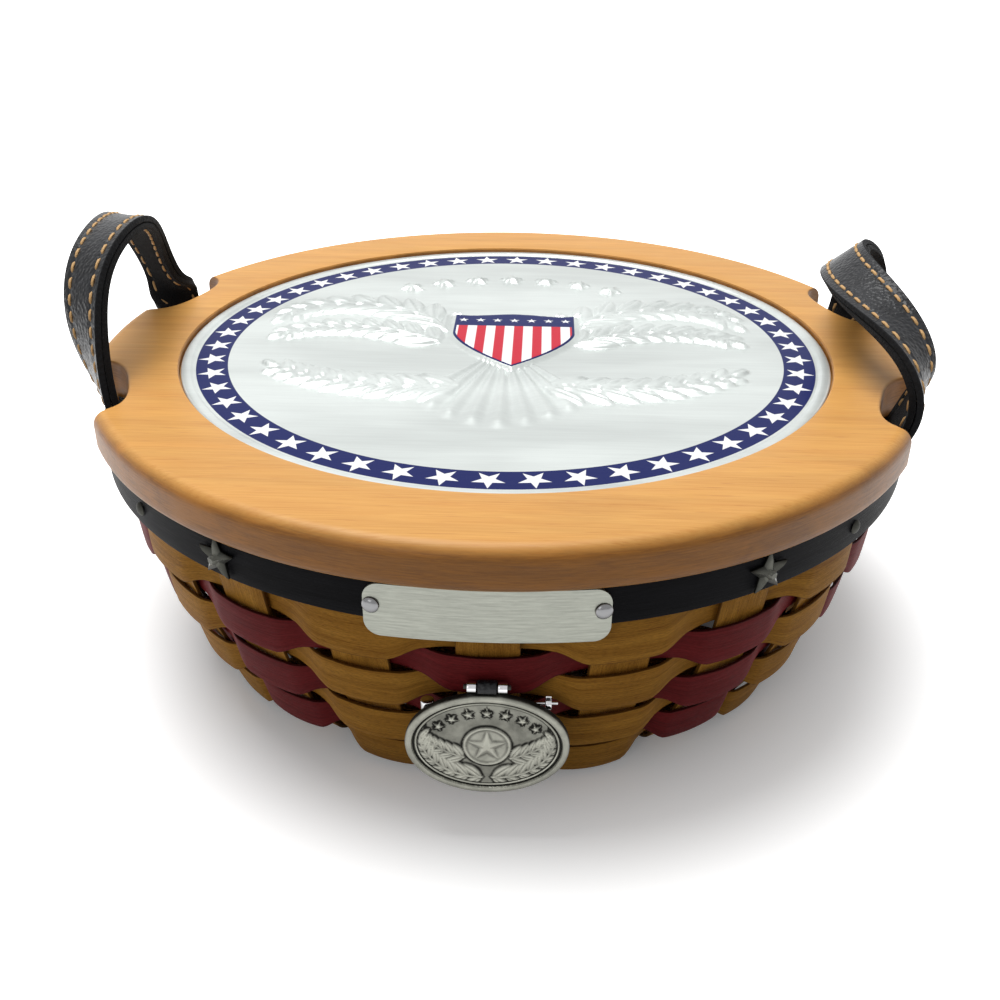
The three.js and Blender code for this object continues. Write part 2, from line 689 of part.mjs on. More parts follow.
// Leather hanger folded round a burgundy float and rolled into an eye for the pivot
const floatRow = FIRST_ROW + ROW_PITCH;
function behindFloat(down, lift) {
  const point = shell(floatRow + down);
  return [-(point.radius + lift * point.outR), point.z + lift * point.outZ];
}

const hangerFold = [behindFloat(3.6, 1.3), behindFloat(5.4, 1.35), behindFloat(7.4, 1.7), behindFloat(8.1, 3.1),
  behindFloat(7.2, 4.5), behindFloat(5, 4.75)];
const eyeRadius = PIVOT_RADIUS + GAP + HANGER_THICK / 2;
const hangerEye = curl(eyeRadius, 0, 262, 8);
addPiece('leather_hanger', ribbon([...hangerFold, ...hangerEye], HANGER_THICK, 0, HANGER_WIDTH), leather);

const pivotPlace = (x, y, along) => new THREE.Vector3(along, PIVOT_Y + x, PIVOT_Z + y);
const pivotProfile = [[0, -PIVOT_HALF], [PIVOT_RADIUS, -PIVOT_HALF], [PIVOT_RADIUS, PIVOT_HALF], [0, PIVOT_HALF]];
addPiece('hanger_pivot', turnedAlong(pivotProfile, 10, pivotPlace), steel);

// Oval medallion with a raised rim round a sunk field
function medallion() {
  const face = MEDAL_BACK - MEDAL_THICK;
  // share of the outline, y position
  const levels = [[0.965, MEDAL_BACK], [1, MEDAL_BACK - 0.4], [1, face + 0.7], [0.965, face],
    [0.91, face + 0.05], [0.885, face + 0.75], [0.84, face + 0.75], [0.4, face + 0.3]];
  const ring = (share, y) => {
    const inset = (1 - share) * (MEDAL_HALF_WIDTH + MEDAL_HALF_HEIGHT) / 2;
    const points = [];
    for (let i = 0; i < MEDAL_COLUMNS; i += 1) {
      const turn = 2 * Math.PI * i / MEDAL_COLUMNS;
      points.push(new THREE.Vector3((MEDAL_HALF_WIDTH - inset) * Math.cos(turn), y,
        MEDAL_LEVEL + (MEDAL_HALF_HEIGHT - inset) * Math.sin(turn)));
    }
    return points;
  };
  const rings = levels.map(([share, y]) => ring(share, y));
  rings.unshift([new THREE.Vector3(0, MEDAL_BACK, MEDAL_LEVEL)]);
  rings.push([new THREE.Vector3(0, face, MEDAL_LEVEL)]);
  return throughRings(rings);
}
addPiece('medallion', medallion(), pewter);

// Flat-wire bails from the back of the medallion round the pivot
const bailRadius = PIVOT_RADIUS + GAP + BAIL_THICK / 2;
const bailY = MEDAL_BACK + GAP + BAIL_THICK / 2;
const bailPath = [[bailY, 43.5], [bailY, 51], [PIVOT_Y + bailRadius, 53], ...curl(bailRadius, 0, 275, 9)];
addPiece('bail_left', ribbon(bailPath, BAIL_THICK, -BAIL_SPACING, BAIL_WIDTH), steel);
addPiece('bail_right', ribbon(bailPath, BAIL_THICK, BAIL_SPACING, BAIL_WIDTH), steel);

// Brooch pin behind the medallion: wire, hinge barrel and open catch
function roundBar(start, end, radius, sides) {
  const run = new THREE.Vector3().subVectors(end, start).normalize();
  const first = new THREE.Vector3(0, 1, 0).addScaledVector(run, -run.y).normalize();
  const second = new THREE.Vector3().crossVectors(run, first);
  const at = (centre) => {
    const ring = [];
    for (let i = 0; i < sides; i += 1) {
      const turn = 2 * Math.PI * i / sides;
      ring.push(centre.clone().addScaledVector(first, radius * Math.cos(turn))
        .addScaledVector(second, radius * Math.sin(turn)));
    }
    return ring;
  };
  return throughRings([at(start), at(end)]);
}

const barrelRadius = CATCH_RADIUS + CATCH_WIRE / 2;
const pinStart = new THREE.Vector3(-PIN_REACH + barrelRadius + GAP, PIN_Y, PIN_LEFT_LEVEL);
const pinEnd = new THREE.Vector3(PIN_REACH + 2.6, PIN_Y, PIN_RIGHT_LEVEL);
addPiece('brooch_pin', roundBar(pinStart, pinEnd, PIN_RADIUS, 8), steel);
const barrelLow = new THREE.Vector3(-PIN_REACH, PIN_Y, PIN_LEFT_LEVEL - 1.6);
const barrelHigh = new THREE.Vector3(-PIN_REACH, PIN_Y, PIN_LEFT_LEVEL + 1.6);
addPiece('brooch_hinge', roundBar(barrelLow, barrelHigh, barrelRadius, 12), steel);

const catchRings = [];
for (let i = 0; i <= 10; i += 1) {
  const turn = (120 + 300 * i / 10) * DEG;
  const ring = [];
  for (let j = 0; j < 5; j += 1) {
    const round = 2 * Math.PI * j / 5;
    const radius = CATCH_RADIUS + CATCH_WIRE / 2 * Math.cos(round);
    ring.push(new THREE.Vector3(PIN_REACH + CATCH_WIRE * 1.4 * Math.sin(round), PIN_Y + radius * Math.cos(turn),
      PIN_RIGHT_LEVEL + radius * Math.sin(turn)));
  }
  catchRings.push(ring);
}
addPiece('brooch_catch', throughRings(catchRings), steel);

export default root;
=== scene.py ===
"""Looks of a round woven splint basket, built round its packed frame."""
import cmath
import math
import random

import bpy
import numpy as np
from bpy.props import FloatProperty, FloatVectorProperty, PointerProperty
from mathutils import Matrix, Vector


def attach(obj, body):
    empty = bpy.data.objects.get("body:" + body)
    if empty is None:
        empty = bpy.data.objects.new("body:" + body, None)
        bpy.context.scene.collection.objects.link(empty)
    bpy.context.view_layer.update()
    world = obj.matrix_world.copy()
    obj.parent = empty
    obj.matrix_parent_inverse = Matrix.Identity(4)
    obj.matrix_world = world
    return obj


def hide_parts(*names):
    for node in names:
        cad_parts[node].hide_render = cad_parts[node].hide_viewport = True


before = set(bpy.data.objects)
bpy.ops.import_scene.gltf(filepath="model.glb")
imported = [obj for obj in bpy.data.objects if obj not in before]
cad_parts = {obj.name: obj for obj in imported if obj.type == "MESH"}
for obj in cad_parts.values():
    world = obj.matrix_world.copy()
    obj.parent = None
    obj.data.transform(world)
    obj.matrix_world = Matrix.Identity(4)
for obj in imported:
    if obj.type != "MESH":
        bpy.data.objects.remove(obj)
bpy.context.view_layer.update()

bl_info = {
    "name": "Woven splint basket",
    "version": (1, 0, 0),
    "blender": (4, 5, 0),
    "location": "View3D > Sidebar > Basket",
    "description": "Dresses the frame of a round splint basket piece by piece",
    "category": "Object",
}

MM = 0.001
SIDES = (("left", -1), ("right", 1))
DEG = math.pi / 180
CAMERA_PITCH = 29 * DEG
CAMERA_ROLL = 0.45 * DEG
CAMERA_TURN = 2 * DEG
CAMERA_PLACE = (0.01144, -0.37342, 0.2454)
NOISE_SHIFT = (0.713, 0.391, 0.527)

# Shell, stakes and rows, in millimetres and degrees as in the part's source
GAP = 0.3
SPLINT = 1.0
WEAVER = 0.9
STAKES = 22
PITCH = 360 / STAKES
STAKE_WIDTH = 17.5
SPOKE_MIN = 8
SPOKE_TAPER = 0.17
RIM_RADIUS = 130.2
RIM_LEVEL = 76
FLOOR_LEVEL = WEAVER + GAP + SPLINT / 2
CORNER_BEND = 10
WALL_START = 56
WALL_END = 82
RIM_BEND = 30
STAKE_TOP = RIM_LEVEL + 12.2
WALL_BOW = ((RIM_LEVEL - FLOOR_LEVEL - CORNER_BEND * (1 - math.cos(WALL_START * DEG))
             - RIM_BEND * math.cos(WALL_END * DEG))
            / (math.cos(WALL_START * DEG) - math.cos(WALL_END * DEG)))
RIM_ARC = RIM_BEND * (90 - WALL_END) * DEG
WALL_ARC = WALL_BOW * (WALL_END - WALL_START) * DEG
CORNER_ARC = CORNER_BEND * WALL_START * DEG
STACK_PITCH = SPLINT + GAP
STACK_RADIUS = 28
STACK_END = 46
FILLER_START = 38
ROWS = 7
FIRST_ROW = 9.5
ROW_PITCH = 10
SHINGLE = 0.12
SHINGLE_GROWTH = 0.023
ROW_ABOVE = 6.3
TOP_ROW_ABOVE = 8.8
FLOAT_BELOW = 6.3
TUCK_BELOW = 3.35
FLOAT_LIFT = (-0.12, 0.3)
FLOAT_DROOP = (-0.35, 0.1)
FLOOR_ROWS = (52, 70, 87)
FLOOR_ROW_WIDTH = 7

# Rim, hoops and what is nailed to them
TAB_INNER = RIM_RADIUS + SPLINT / 2 + 0.55
TAB_THICK = 1.9
TAB_BOTTOM = RIM_LEVEL + 1.5
HOOP_INNER = 133.6
HOOP_OUTER = HOOP_INNER + 2.7
HOOP_TOP = STAKE_TOP + 0.5
HOOP_JOINT = 0.17
LINER_OUTER = 129.4
LINER_INNER = LINER_OUTER - 2.6
LINER_BOTTOM = RIM_LEVEL + 1
LINER_TOP = STAKE_TOP - 0.2
HEAD_SEAT = HOOP_OUTER + GAP
TACK_LEVEL = 82
TACKS = (3 * PITCH, 8 * PITCH, 14 * PITCH, 19 * PITCH, 178, 182)
TACK_FINISH = (0.4, 0.35, 0.35)
STAR_LEVEL = 82.3
STAR_ANGLES = {"right": 2 * PITCH, "left": -2 * PITCH}
TAG_SIZE = (63.5, 15.9, 0.9)
TAG_BOTTOM = RIM_LEVEL - 3.3
TAG_CORNER = 4.5
TAG_BEND = 200
RIVET_SPREAD = 29.5
RIVET_LEVEL = TACK_LEVEL

# Lid board and plate
LID_BOTTOM = HOOP_TOP + GAP
LID_TOP = LID_BOTTOM + 13
PLUG_BOTTOM = LID_BOTTOM - 4
PLUG_RADIUS = LINER_INNER - 0.6
LID_RADIUS = HOOP_OUTER + 3.3
LID_ROUND = 4.6
OPENING_RADIUS = LID_RADIUS - 28.8
RECESS_FLOOR = LID_TOP - 3.1
PLATE_RADIUS = OPENING_RADIUS - 0.5
PLATE_BOTTOM = RECESS_FLOOR + GAP
PLATE_TOP = PLATE_BOTTOM + 0.8
BEAD_INNER = PLATE_RADIUS - 3.7
BEAD_HEIGHT = 0.6
LEAF_TURN = 38
LEAF_TAPER = 0.45
TWIG_SHARE = 0.52
# root, heading, bend, pairs of leaves, and a leaf's length, width and height
SPRAYS = ((22 + 14j, 62, -14, 9, 20, 8, 1), (24 + 2j, 38, -9, 9, 16, 6.4, 1), (14 - 37j, -6, 5, 9, 17, 6.8, 1))
PLATE_STARS = 7
PLATE_STAR = 6.2
PLATE_STAR_REACH = 72
PLATE_STAR_PITCH = 11
RAY_ROOT = -2j
RAY_LENGTH = 66
RAY_SPREAD = 36
RAYS_ROUND = 45
RAY_HEIGHT = 0.62
RELIEF_EDGE = 93
BORDER_INNER = 95.1
BORDER_OUTER = 105.5
BORDER_MIDDLE = 100.1
BORDER_STARS = 50
BORDER_STAR = 4.9
BORDER_TURN = -0.74 * DEG
PRINT_SOFT = 0.12
SHIELD_CENTRE = (2.5, 6.4)
SHIELD_HALF = (21.7, 27.1)
SHIELD_POINT = 1.6
SHIELD_BORDER = 1.7
SHIELD_STRIPES = 13
SHIELD_STARS = 7
# a five-pointed star turns by this from tip to valley, where its radius falls to this share
STAR_FOLD = math.pi / 5
STAR_VALLEY = 0.4

# Handle straps
STRAP_WIDTH = 17
STRAP_LAYER = 2.1
STRAP_SEAM = GAP / 2
STRAP_STEPS = 150
STRAP_COLUMNS = 38
GROOVE_WIDTH = 0.75
GROOVE_DEPTH = 0.28
SEAM_FREE = 14
THREAD_WIDTH = 1.05
THREAD_THICK = 0.85
THREAD_SLANT = 0.12
FOOT_RADIUS = TAB_INNER - STRAP_SEAM
FOOT_ANGLE = 19
FOOT_LEVEL = STAKE_TOP - 0.2
STRAP_CUT = HOOP_TOP + GAP
NOTCH_ANGLE = FOOT_ANGLE + 0.5
NOTCH_RADIUS = 126.9
NOTCH_HALF = 20
NOTCH_SQUARE = 2.5
NOTCH_EASE = 1.1
ARCHES = {
    "left": dict(side=-1, out=(8.06, -1.33, 3.66), splay=(-2.88, -3.67, 1.99), rise=(54.8, 2.62, 0.6),
                 tilt=8.61, turn=0.59, twist=(-20.07, 11.39), yaw=14.42),
    "right": dict(side=1, out=(-1.79, -2.05, 6.83), splay=(2.8, -9.08, -2.85), rise=(41.69, 0.1, 1.33),
                  tilt=44.63, turn=1.05, twist=(-18.93, 6.26), yaw=13.66),
}

# Medallion and what hangs it
MEDAL_HALF = (22.7, 17)
MEDAL_LEVEL = RIM_LEVEL - 40.7
MEDAL_BACK = -(RIM_RADIUS + 1.1)
MEDAL_THICK = 3
MEDAL_SPRAYS = ((1.5 - 11.6j, 4, 11, 9, 7.0, 3.1, 0.8), (6.5 - 4.6j, 20, 6, 5, 5.6, 2.6, 0.7))
MEDAL_DISC = 6.9
MEDAL_MIDDLE = -0.4j
MEDAL_STAR = 5.4
MEDAL_ARC = (16.4, 11.6)
MEDAL_SMALL_STAR = 1.7
MEDAL_FIELD = 3.3
BAIL_SPACING = 4.2
BAIL_WIDTH = 2.5
BAIL_THICK = 0.6
PIVOT_WIRE = 0.7
BAIL_RADIUS = PIVOT_WIRE + GAP + BAIL_THICK / 2
PIVOT_HALF = 6.4
PIVOT_Y = -(RIM_RADIUS + 2.2)
PIVOT_Z = 54.4
HANGER_THICK = 0.9
HANGER_WIDTH = 5.2
PIN_WIRE = 0.45
PIN_REACH = 16.6
PIN_TIP = 2.6
BARREL_HALF = 1.6
CATCH_RADIUS = 1.55
CATCH_WIRE = 0.35
CATCH_WIDTH = 1.6
PIN_Y = MEDAL_BACK + GAP + CATCH_RADIUS + CATCH_WIRE
PIN_LEVELS = (MEDAL_LEVEL + 10.1, MEDAL_LEVEL + 11.7)


# Settings

def srgb(*parts):
    """Linear colour from the 0 to 255 parts that a picture shows."""
    shares = [part / 255 for part in parts]
    return tuple(s / 12.92 if s <= 0.04045 else ((s + 0.055) / 1.055) ** 2.4 for s in shares)


def colour(name, description, *parts):
    return FloatVectorProperty(name=name, description=description, subtype="COLOR", size=3,
                               min=0, max=1, default=srgb(*parts))


def length(name, description, value):
    """A size property in metres whose default is given in millimetres."""
    return FloatProperty(name=name, description=description, subtype="DISTANCE", unit="LENGTH",
                         default=value * MM, precision=5)


class WeaveSettings(bpy.types.PropertyGroup):
    """Splints and hoops"""
    gold_pale: colour("Pale gold", "Lightest streaks of the golden splints", 226, 164, 70)
    gold_dark: colour("Dark gold", "Darkest streaks of the golden splints", 146, 92, 26)
    red_pale: colour("Pale burgundy", "Lightest streaks of the burgundy splints", 138, 40, 42)
    red_dark: colour("Dark burgundy", "Darkest streaks of the burgundy splints", 84, 18, 20)
    black_pale: colour("Pale black", "Lightest streaks of the dyed hoop", 29, 29, 32)
    black_dark: colour("Dark black", "Darkest streaks of the dyed hoop", 10, 10, 11)
    swell: length("Float swell", "How far a float bulges over its stake", 0.35)
    edge_round: length("Edge rounding", "Rounding of the splints' cut edges", 0.22)


class LidSettings(bpy.types.PropertyGroup):
    """Turned board and embossed plate"""
    maple_pale: colour("Pale maple", "Lightest grain of the board", 228, 174, 96)
    maple_dark: colour("Dark maple", "Darkest grain of the board", 202, 138, 66)
    plate_pale: colour("Plate", "Bare metal of the plate", 226, 232, 229)
    print_blue: colour("Printed blue", "Border and chief", 26, 35, 92)
    print_red: colour("Printed red", "Stripes of the shield", 200, 44, 62)
    print_white: colour("Printed white", "Stars and pale stripes", 244, 245, 245)
    relief: length("Relief height", "Tallest embossing of the plate", 1.6)


class StrapSettings(bpy.types.PropertyGroup):
    """Leather handles and their stitching"""
    leather: colour("Leather", "Grain side of the straps", 23, 24, 27)
    suede: colour("Suede", "Flesh side of the straps", 24, 24, 25)
    thread: colour("Thread", "Waxed stitching thread", 214, 170, 112)
    stitch: length("Stitch", "Length of one stitch", 4.1)
    stitch_gap: length("Stitch gap", "Hole between two stitches", 1.0)
    margin: length("Margin", "Distance of the stitching from the strap's edge", 3.1)


class MetalSettings(bpy.types.PropertyGroup):
    """Tag, medallion, ornaments and fasteners"""
    tag: colour("Tag", "Brushed tag", 140, 142, 133)
    pewter_pale: colour("Worn pewter", "High places of the antiqued castings", 150, 150, 140)
    pewter_dark: colour("Dark pewter", "Low places of the antiqued castings", 30, 30, 27)
    steel: colour("Steel", "Bails, pivot and pin", 206, 206, 208)
    medal_relief: length("Medallion relief", "Height of the medallion's motif", 0.85)


class StageSettings(bpy.types.PropertyGroup):
    """Floor, lamps and camera"""
    floor: colour("Floor", "Floor and background", 250, 250, 250)
    lens: FloatProperty(name="Lens", description="Focal length on a 36 mm wide sensor",
                        subtype="DISTANCE_CAMERA", default=40.86)
    key: FloatProperty(name="Key lamp", description="Power of the large soft lamp", subtype="POWER",
                       unit="POWER", default=22.0)
    fill: FloatProperty(name="Sky", description="Strength of the even light all round", default=0.23)


# Mesh helpers

def settings(name):
    return getattr(bpy.context.scene, "basket_" + name)


def deselect():
    if bpy.context.mode != "OBJECT":
        bpy.ops.object.mode_set(mode="OBJECT")
    bpy.ops.object.select_all(action="DESELECT")


def added(name):
    """Names the object that was just added or joined."""
    obj = bpy.context.active_object
    obj.name = name
    obj.data.name = name
    return obj


def linked(name, data):
    """A new object in the scene."""
    obj = bpy.data.objects.new(name, data)
    bpy.context.scene.collection.objects.link(obj)
    return obj


def primitive(kind, name, **values):
    deselect()
    getattr(bpy.ops.mesh, f"primitive_{kind}_add")(**values)
    return added(name)


def activate(obj):
    deselect()
    obj.select_set(True)
    bpy.context.view_layer.objects.active = obj


def edited(obj, step, **values):
    """Runs one mesh operator on all of a mesh."""
    activate(obj)
    bpy.ops.object.mode_set(mode="EDIT")
    bpy.ops.mesh.select_all(action="SELECT")
    getattr(bpy.ops.mesh, step)(**values)
    bpy.ops.object.mode_set(mode="OBJECT")
    return obj


def close(obj):
    """Merges doubled points, such as poles and joined ends."""
    return edited(obj, "remove_doubles", threshold=1e-6)


def close_and_point_out(obj):
    return edited(close(obj), "normals_make_consistent", inside=False)


def apply_all(obj):
    activate(obj)
    for modifier in list(obj.modifiers):
        bpy.ops.object.modifier_apply(modifier=modifier.name)
    return obj


def smooth(obj, angle=40):
    activate(obj)
    bpy.ops.object.shade_smooth_by_angle(angle=angle * DEG)
    return obj


def get_points(obj):
    points = np.empty(len(obj.data.vertices) * 3)
    obj.data.vertices.foreach_get("co", points)
    return points.reshape(-1, 3)


def set_points(obj, points):
    obj.data.vertices.foreach_set("co", np.ascontiguousarray(points, dtype=float).ravel())
    obj.data.update()


def mark(obj, name, values):
    """Notes one number for each point, which a material reads by this name."""
    layer = obj.data.attributes.new(name, "FLOAT", "POINT")
    layer.data.foreach_set("value", np.ascontiguousarray(values, dtype=float))


def strip(name, grid, place, size, thickness, rounding, segments=2, shift=0.0, closed=False):
    """Bends a strip of a flat size to where place(u, v) lays it and rounds its cut edges, all in millimetres."""
    obj = primitive("grid", name, x_subdivisions=grid[0], y_subdivisions=grid[1], size=1)
    points = get_points(obj)
    set_points(obj, place(points[:, 0] + 0.5, points[:, 1] + 0.5) * MM)
    mark(obj, "Edge", np.abs(2 * points[:, 1]))
    # its map gets the flat size in metres, so that a pattern keeps its scale
    layer = obj.data.uv_layers.active
    layer.name = "Along"
    coords = np.empty(len(layer.data) * 2)
    layer.data.foreach_get("uv", coords)
    coords = coords.reshape(-1, 2) * (size[0] * MM, size[1] * MM) + (shift, shift * 0.37)
    layer.data.foreach_set("uv", coords.ravel())
    if closed:
        close(obj)
    solid = obj.modifiers.new("Thickness", "SOLIDIFY")
    solid.thickness = thickness * MM
    solid.offset = 0
    solid.use_even_offset = True
    round_edges(obj, rounding * MM, segments, 55)
    return smooth(apply_all(obj))


def round_edges(obj, width, segments, angle):
    bevel = obj.modifiers.new("Edges", "BEVEL")
    bevel.width = width
    bevel.segments = segments
    bevel.limit_method = "ANGLE"
    bevel.angle_limit = angle * DEG


def turned(name, profile, sides, angle=35):
    """A body turned about Z from a profile of (radius, height) in millimetres."""
    mesh = bpy.data.meshes.new(name)
    points = [(radius * MM, 0, height * MM) for radius, height in profile]
    mesh.from_pydata(points, [(i, i + 1) for i in range(len(points) - 1)], [])
    obj = linked(name, mesh)
    screw = obj.modifiers.new("Turn", "SCREW")
    screw.steps = screw.render_steps = sides
    screw.use_merge_vertices = True
    screw.merge_threshold = 1e-6
    screw.use_normal_calculate = True
    return smooth(close_and_point_out(apply_all(obj)), angle)


def put(obj, matrix):
    """Moves a finished mesh into place, so that its object can stay at the origin."""
    obj.data.transform(matrix)
    obj.data.update()
    return obj


def joined(name, parts):
    deselect()
    for part in parts:
        part.select_set(True)
    bpy.context.view_layer.objects.active = parts[0]
    bpy.ops.object.join()
    return added(name)


def finish_piece(obj, body, slot, material, *nodes):
    """Gives a piece its material and its body, and hides the frame nodes it stands for; its slot is not used."""
    obj.data.materials.clear()
    obj.data.materials.append(material)
    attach(obj, body)
    if nodes:
        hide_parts(*nodes)
    return obj


def run_along(path):
    """Distance along a path up to each of its points."""
    return np.concatenate([[0], np.cumsum(np.linalg.norm(np.diff(path, axis=0), axis=1))])


def stacked(*parts):
    """Places from arrays of their parts."""
    return np.stack(np.broadcast_arrays(*parts), axis=-1)


def polar(angle, radius, z):
    """Points by azimuth from the front, radius and height."""
    angle = np.asarray(angle, float) * DEG
    return stacked(radius * np.sin(angle), -radius * np.cos(angle), z)


def columns(*vectors):
    """A matrix from its three axes and its place."""
    return Matrix([*zip(*vectors), (0, 0, 0, 1)])


def hoop_matrix(angle, radius, z):
    """Local X across the azimuth, local Y up and local Z outward from a radius, in metres."""
    out = polar(angle, 1, 0)
    return columns(polar(angle + 90, 1, 0), (0, 0, 1), out, (out * radius + (0, 0, z)) * MM)


# Stakes and rows

def shell(down):
    """Radius, height and outward normal of the stakes' middle surface, by distance down from the rim."""
    down = np.asarray(down, float)
    left = np.maximum(down, 0)
    radius = np.full(down.shape, float(RIM_RADIUS))
    z = np.where(down < 0, RIM_LEVEL - down, RIM_LEVEL)
    tangent = np.full(down.shape, 90.0)
    for bend, arc in ((RIM_BEND, RIM_ARC), (WALL_BOW, WALL_ARC), (CORNER_BEND, CORNER_ARC)):
        part = np.minimum(left, arc)
        lower = tangent - part / bend / DEG
        radius -= bend * (np.sin(tangent * DEG) - np.sin(lower * DEG))
        z -= bend * (np.cos(lower * DEG) - np.cos(tangent * DEG))
        tangent = lower
        left = left - part
    radius -= left
    return radius, z, np.sin(tangent * DEG), -np.cos(tangent * DEG)


def stake_width(radius):
    """A stake's width, which tapers as it nears the middle of the floor."""
    return np.minimum(STAKE_WIDTH, np.maximum(SPOKE_MIN, SPOKE_TAPER * np.asarray(radius)))


def half_stake():
    """Reach and height of a stake's stations, from its top to the edge of the floor."""
    downs = np.concatenate([
        np.linspace(RIM_LEVEL - STAKE_TOP, 0, 4)[:-1],
        np.linspace(0, RIM_ARC + WALL_ARC, 40)[:-1],
        np.linspace(RIM_ARC + WALL_ARC, RIM_ARC + WALL_ARC + CORNER_ARC, 9)])
    return [*zip(*shell(downs)[:2])]


def lay_stake(name, angle, stations, shift):
    """A splint through stations in the vertical plane of its azimuth."""
    reach, z = np.array(stations).T
    width = stake_width(np.abs(reach))
    count = len(stations)
    side = polar(angle + 90, 1, 0)
    out = polar(angle, 1, 0)

    def place(u, v):
        at = np.rint(u * (count - 1)).astype(int)
        across = (v - 0.5) * width[at]
        return np.outer(reach[at], out) + np.outer(z[at], (0, 0, 1)) + np.outer(across, side)

    return strip(name, (count - 1, 3), place, (run_along(stations)[-1], STAKE_WIDTH), SPLINT,
                 settings("weave").edge_round / MM, shift=shift)


class BASKET_OT_stakes(bpy.types.Operator):
    """Bend the splints that cross under the floor and rise as stakes"""
    bl_idname = "basket.stakes"
    bl_label = "Stakes"

    def execute(self, context):
        material = surfaced("Golden splint", splint_surface, "gold")
        draw = random.Random(11)
        through = 0
        filler = 0
        for k in range(STAKES):
            half = half_stake()
            if k < STAKES // 2 and k % 2 == 0:
                through += 1
                half += [(STACK_END, FLOOR_LEVEL), (STACK_RADIUS, FLOOR_LEVEL + STACK_PITCH * k / 2)]
                far = [(-reach, z) for reach, z in reversed(half)]
                node = f"through_splint_{through}"
                piece = lay_stake("splint_" + node, k * PITCH, half + far, draw.random())
            elif k < STAKES // 2 or k % 2 == 0:
                filler += 1
                node = f"filler_stake_{filler}"
                half += [(FILLER_START, FLOOR_LEVEL)]
                piece = lay_stake("splint_" + node, k * PITCH, half, draw.random())
            else:
                continue
            finish_piece(piece, "basket", "golden_splint", material, node)
        return {"FINISHED"}


def crossing(u, edge):
    """A row's azimuth, the nearest stake, how far off it lies, and how much of the depth beside it is left."""
    turn = 180 + 360 * u
    stake = np.rint(turn / PITCH)
    off = turn - stake * PITCH
    into = np.clip((np.abs(off) - edge) / (PITCH / 2 - edge), 0, 1)
    return turn, stake.astype(int) % STAKES, off, np.cos(into * math.pi / 2)


def lay_row(name, row, above, over_odd, shift):
    """One woven wall row: a closed strip over every second stake and under the others."""
    swell = settings("weave").swell / MM
    centre = FIRST_ROW + row * ROW_PITCH
    shingle = SHINGLE + SHINGLE_GROWTH * row
    at = float(shell(centre)[0])
    edge = math.asin((float(stake_width(at)) / 2 + 0.1) / at) / DEG
    flat_rise = at * (1 / math.cos(edge * DEG) - 1)
    base = SPLINT / 2 + GAP + WEAVER / 2
    over = base + shingle * above + flat_rise
    under = -(base + GAP / 3 + shingle * TUCK_BELOW)
    draw = random.Random(name)
    lift_of = np.array([draw.uniform(*FLOAT_LIFT) for _ in range(STAKES)])
    droop_of = np.array([draw.uniform(*FLOAT_DROOP) for _ in range(STAKES)])

    def place(u, v):
        turn, stake, off, ease = crossing(u, edge)
        is_over = (stake % 2 == 1) == over_odd
        crown = np.clip(1 - (off / edge) ** 2, 0, 1)
        depth = np.where(is_over, over + (swell + lift_of[stake]) * crown, under) * ease
        below = TUCK_BELOW + np.where(is_over, FLOAT_BELOW + droop_of[stake] * crown - TUCK_BELOW, 0) * ease ** 2
        offset = -above + v * (above + below)
        radius, z, out_r, out_z = shell(centre + offset)
        lift = depth + shingle * offset
        return polar(turn, radius + lift * out_r, z + lift * out_z)

    return strip(name, (STAKES * 22, 6), place, (2 * math.pi * at, above + FLOAT_BELOW), WEAVER,
                 settings("weave").edge_round / MM, shift=shift, closed=True)


class BASKET_OT_rows(bpy.types.Operator):
    """Weave the golden and burgundy rows of the wall"""
    bl_idname = "basket.rows"
    bl_label = "Wall rows"

    def execute(self, context):
        gold = surfaced("Golden splint", splint_surface, "gold")
        red = surfaced("Burgundy splint", splint_surface, "red")
        for row in range(ROWS):
            golden = row % 2 == 0
            tint = "golden" if golden else "burgundy"
            above = TOP_ROW_ABOVE if row == 0 else ROW_ABOVE
            piece = lay_row(f"woven_row_{row + 1}", row, above, golden, 0.31 * row)
            finish_piece(piece, "basket", tint + "_splint", gold if golden else red, f"wall_row_{row + 1}_{tint}")
        return {"FINISHED"}


def lay_floor_row(name, radius, outside_odd, shift):
    """A narrow row that locks the spokes of the floor."""
    swing = (SPLINT + WEAVER) / 2 + GAP
    inner = radius - FLOOR_ROW_WIDTH / 2
    edge = math.asin((float(stake_width(inner)) / 2 + 0.2) / inner) / DEG

    def place(u, v):
        turn, stake, _, ease = crossing(u, edge)
        outside = (stake % 2 == 1) == outside_odd
        return polar(turn, inner + v * FLOOR_ROW_WIDTH, FLOOR_LEVEL + np.where(outside, -swing, swing) * ease)

    return strip(name, (STAKES * 14, 3), place, (2 * math.pi * radius, FLOOR_ROW_WIDTH), WEAVER, 0.2,
                 shift=shift, closed=True)


class BASKET_OT_floor(bpy.types.Operator):
    """Weave the narrow rows of the floor"""
    bl_idname = "basket.floor"
    bl_label = "Floor rows"

    def execute(self, context):
        gold = surfaced("Golden splint", splint_surface, "gold")
        for i, radius in enumerate(FLOOR_ROWS):
            piece = lay_floor_row(f"woven_floor_{i + 1}", radius, i % 2 == 1, 0.17 * i)
            finish_piece(piece, "basket", "golden_splint", gold, f"floor_row_{i + 1}")
        return {"FINISHED"}


# Hoops, and what is nailed to them

def bend_hoop(name, inner, outer, bottom, top, rounding, shift):
    """A hoop whose ends meet at the back."""
    start = 180 + HOOP_JOINT / 2
    sweep = 360 - HOOP_JOINT
    middle = (inner + outer) / 2

    def place(u, v):
        return polar(start + sweep * u, middle, bottom + v * (top - bottom))

    return strip(name, (360, 4), place, (2 * math.pi * middle, top - bottom), outer - inner, rounding, 3, shift)


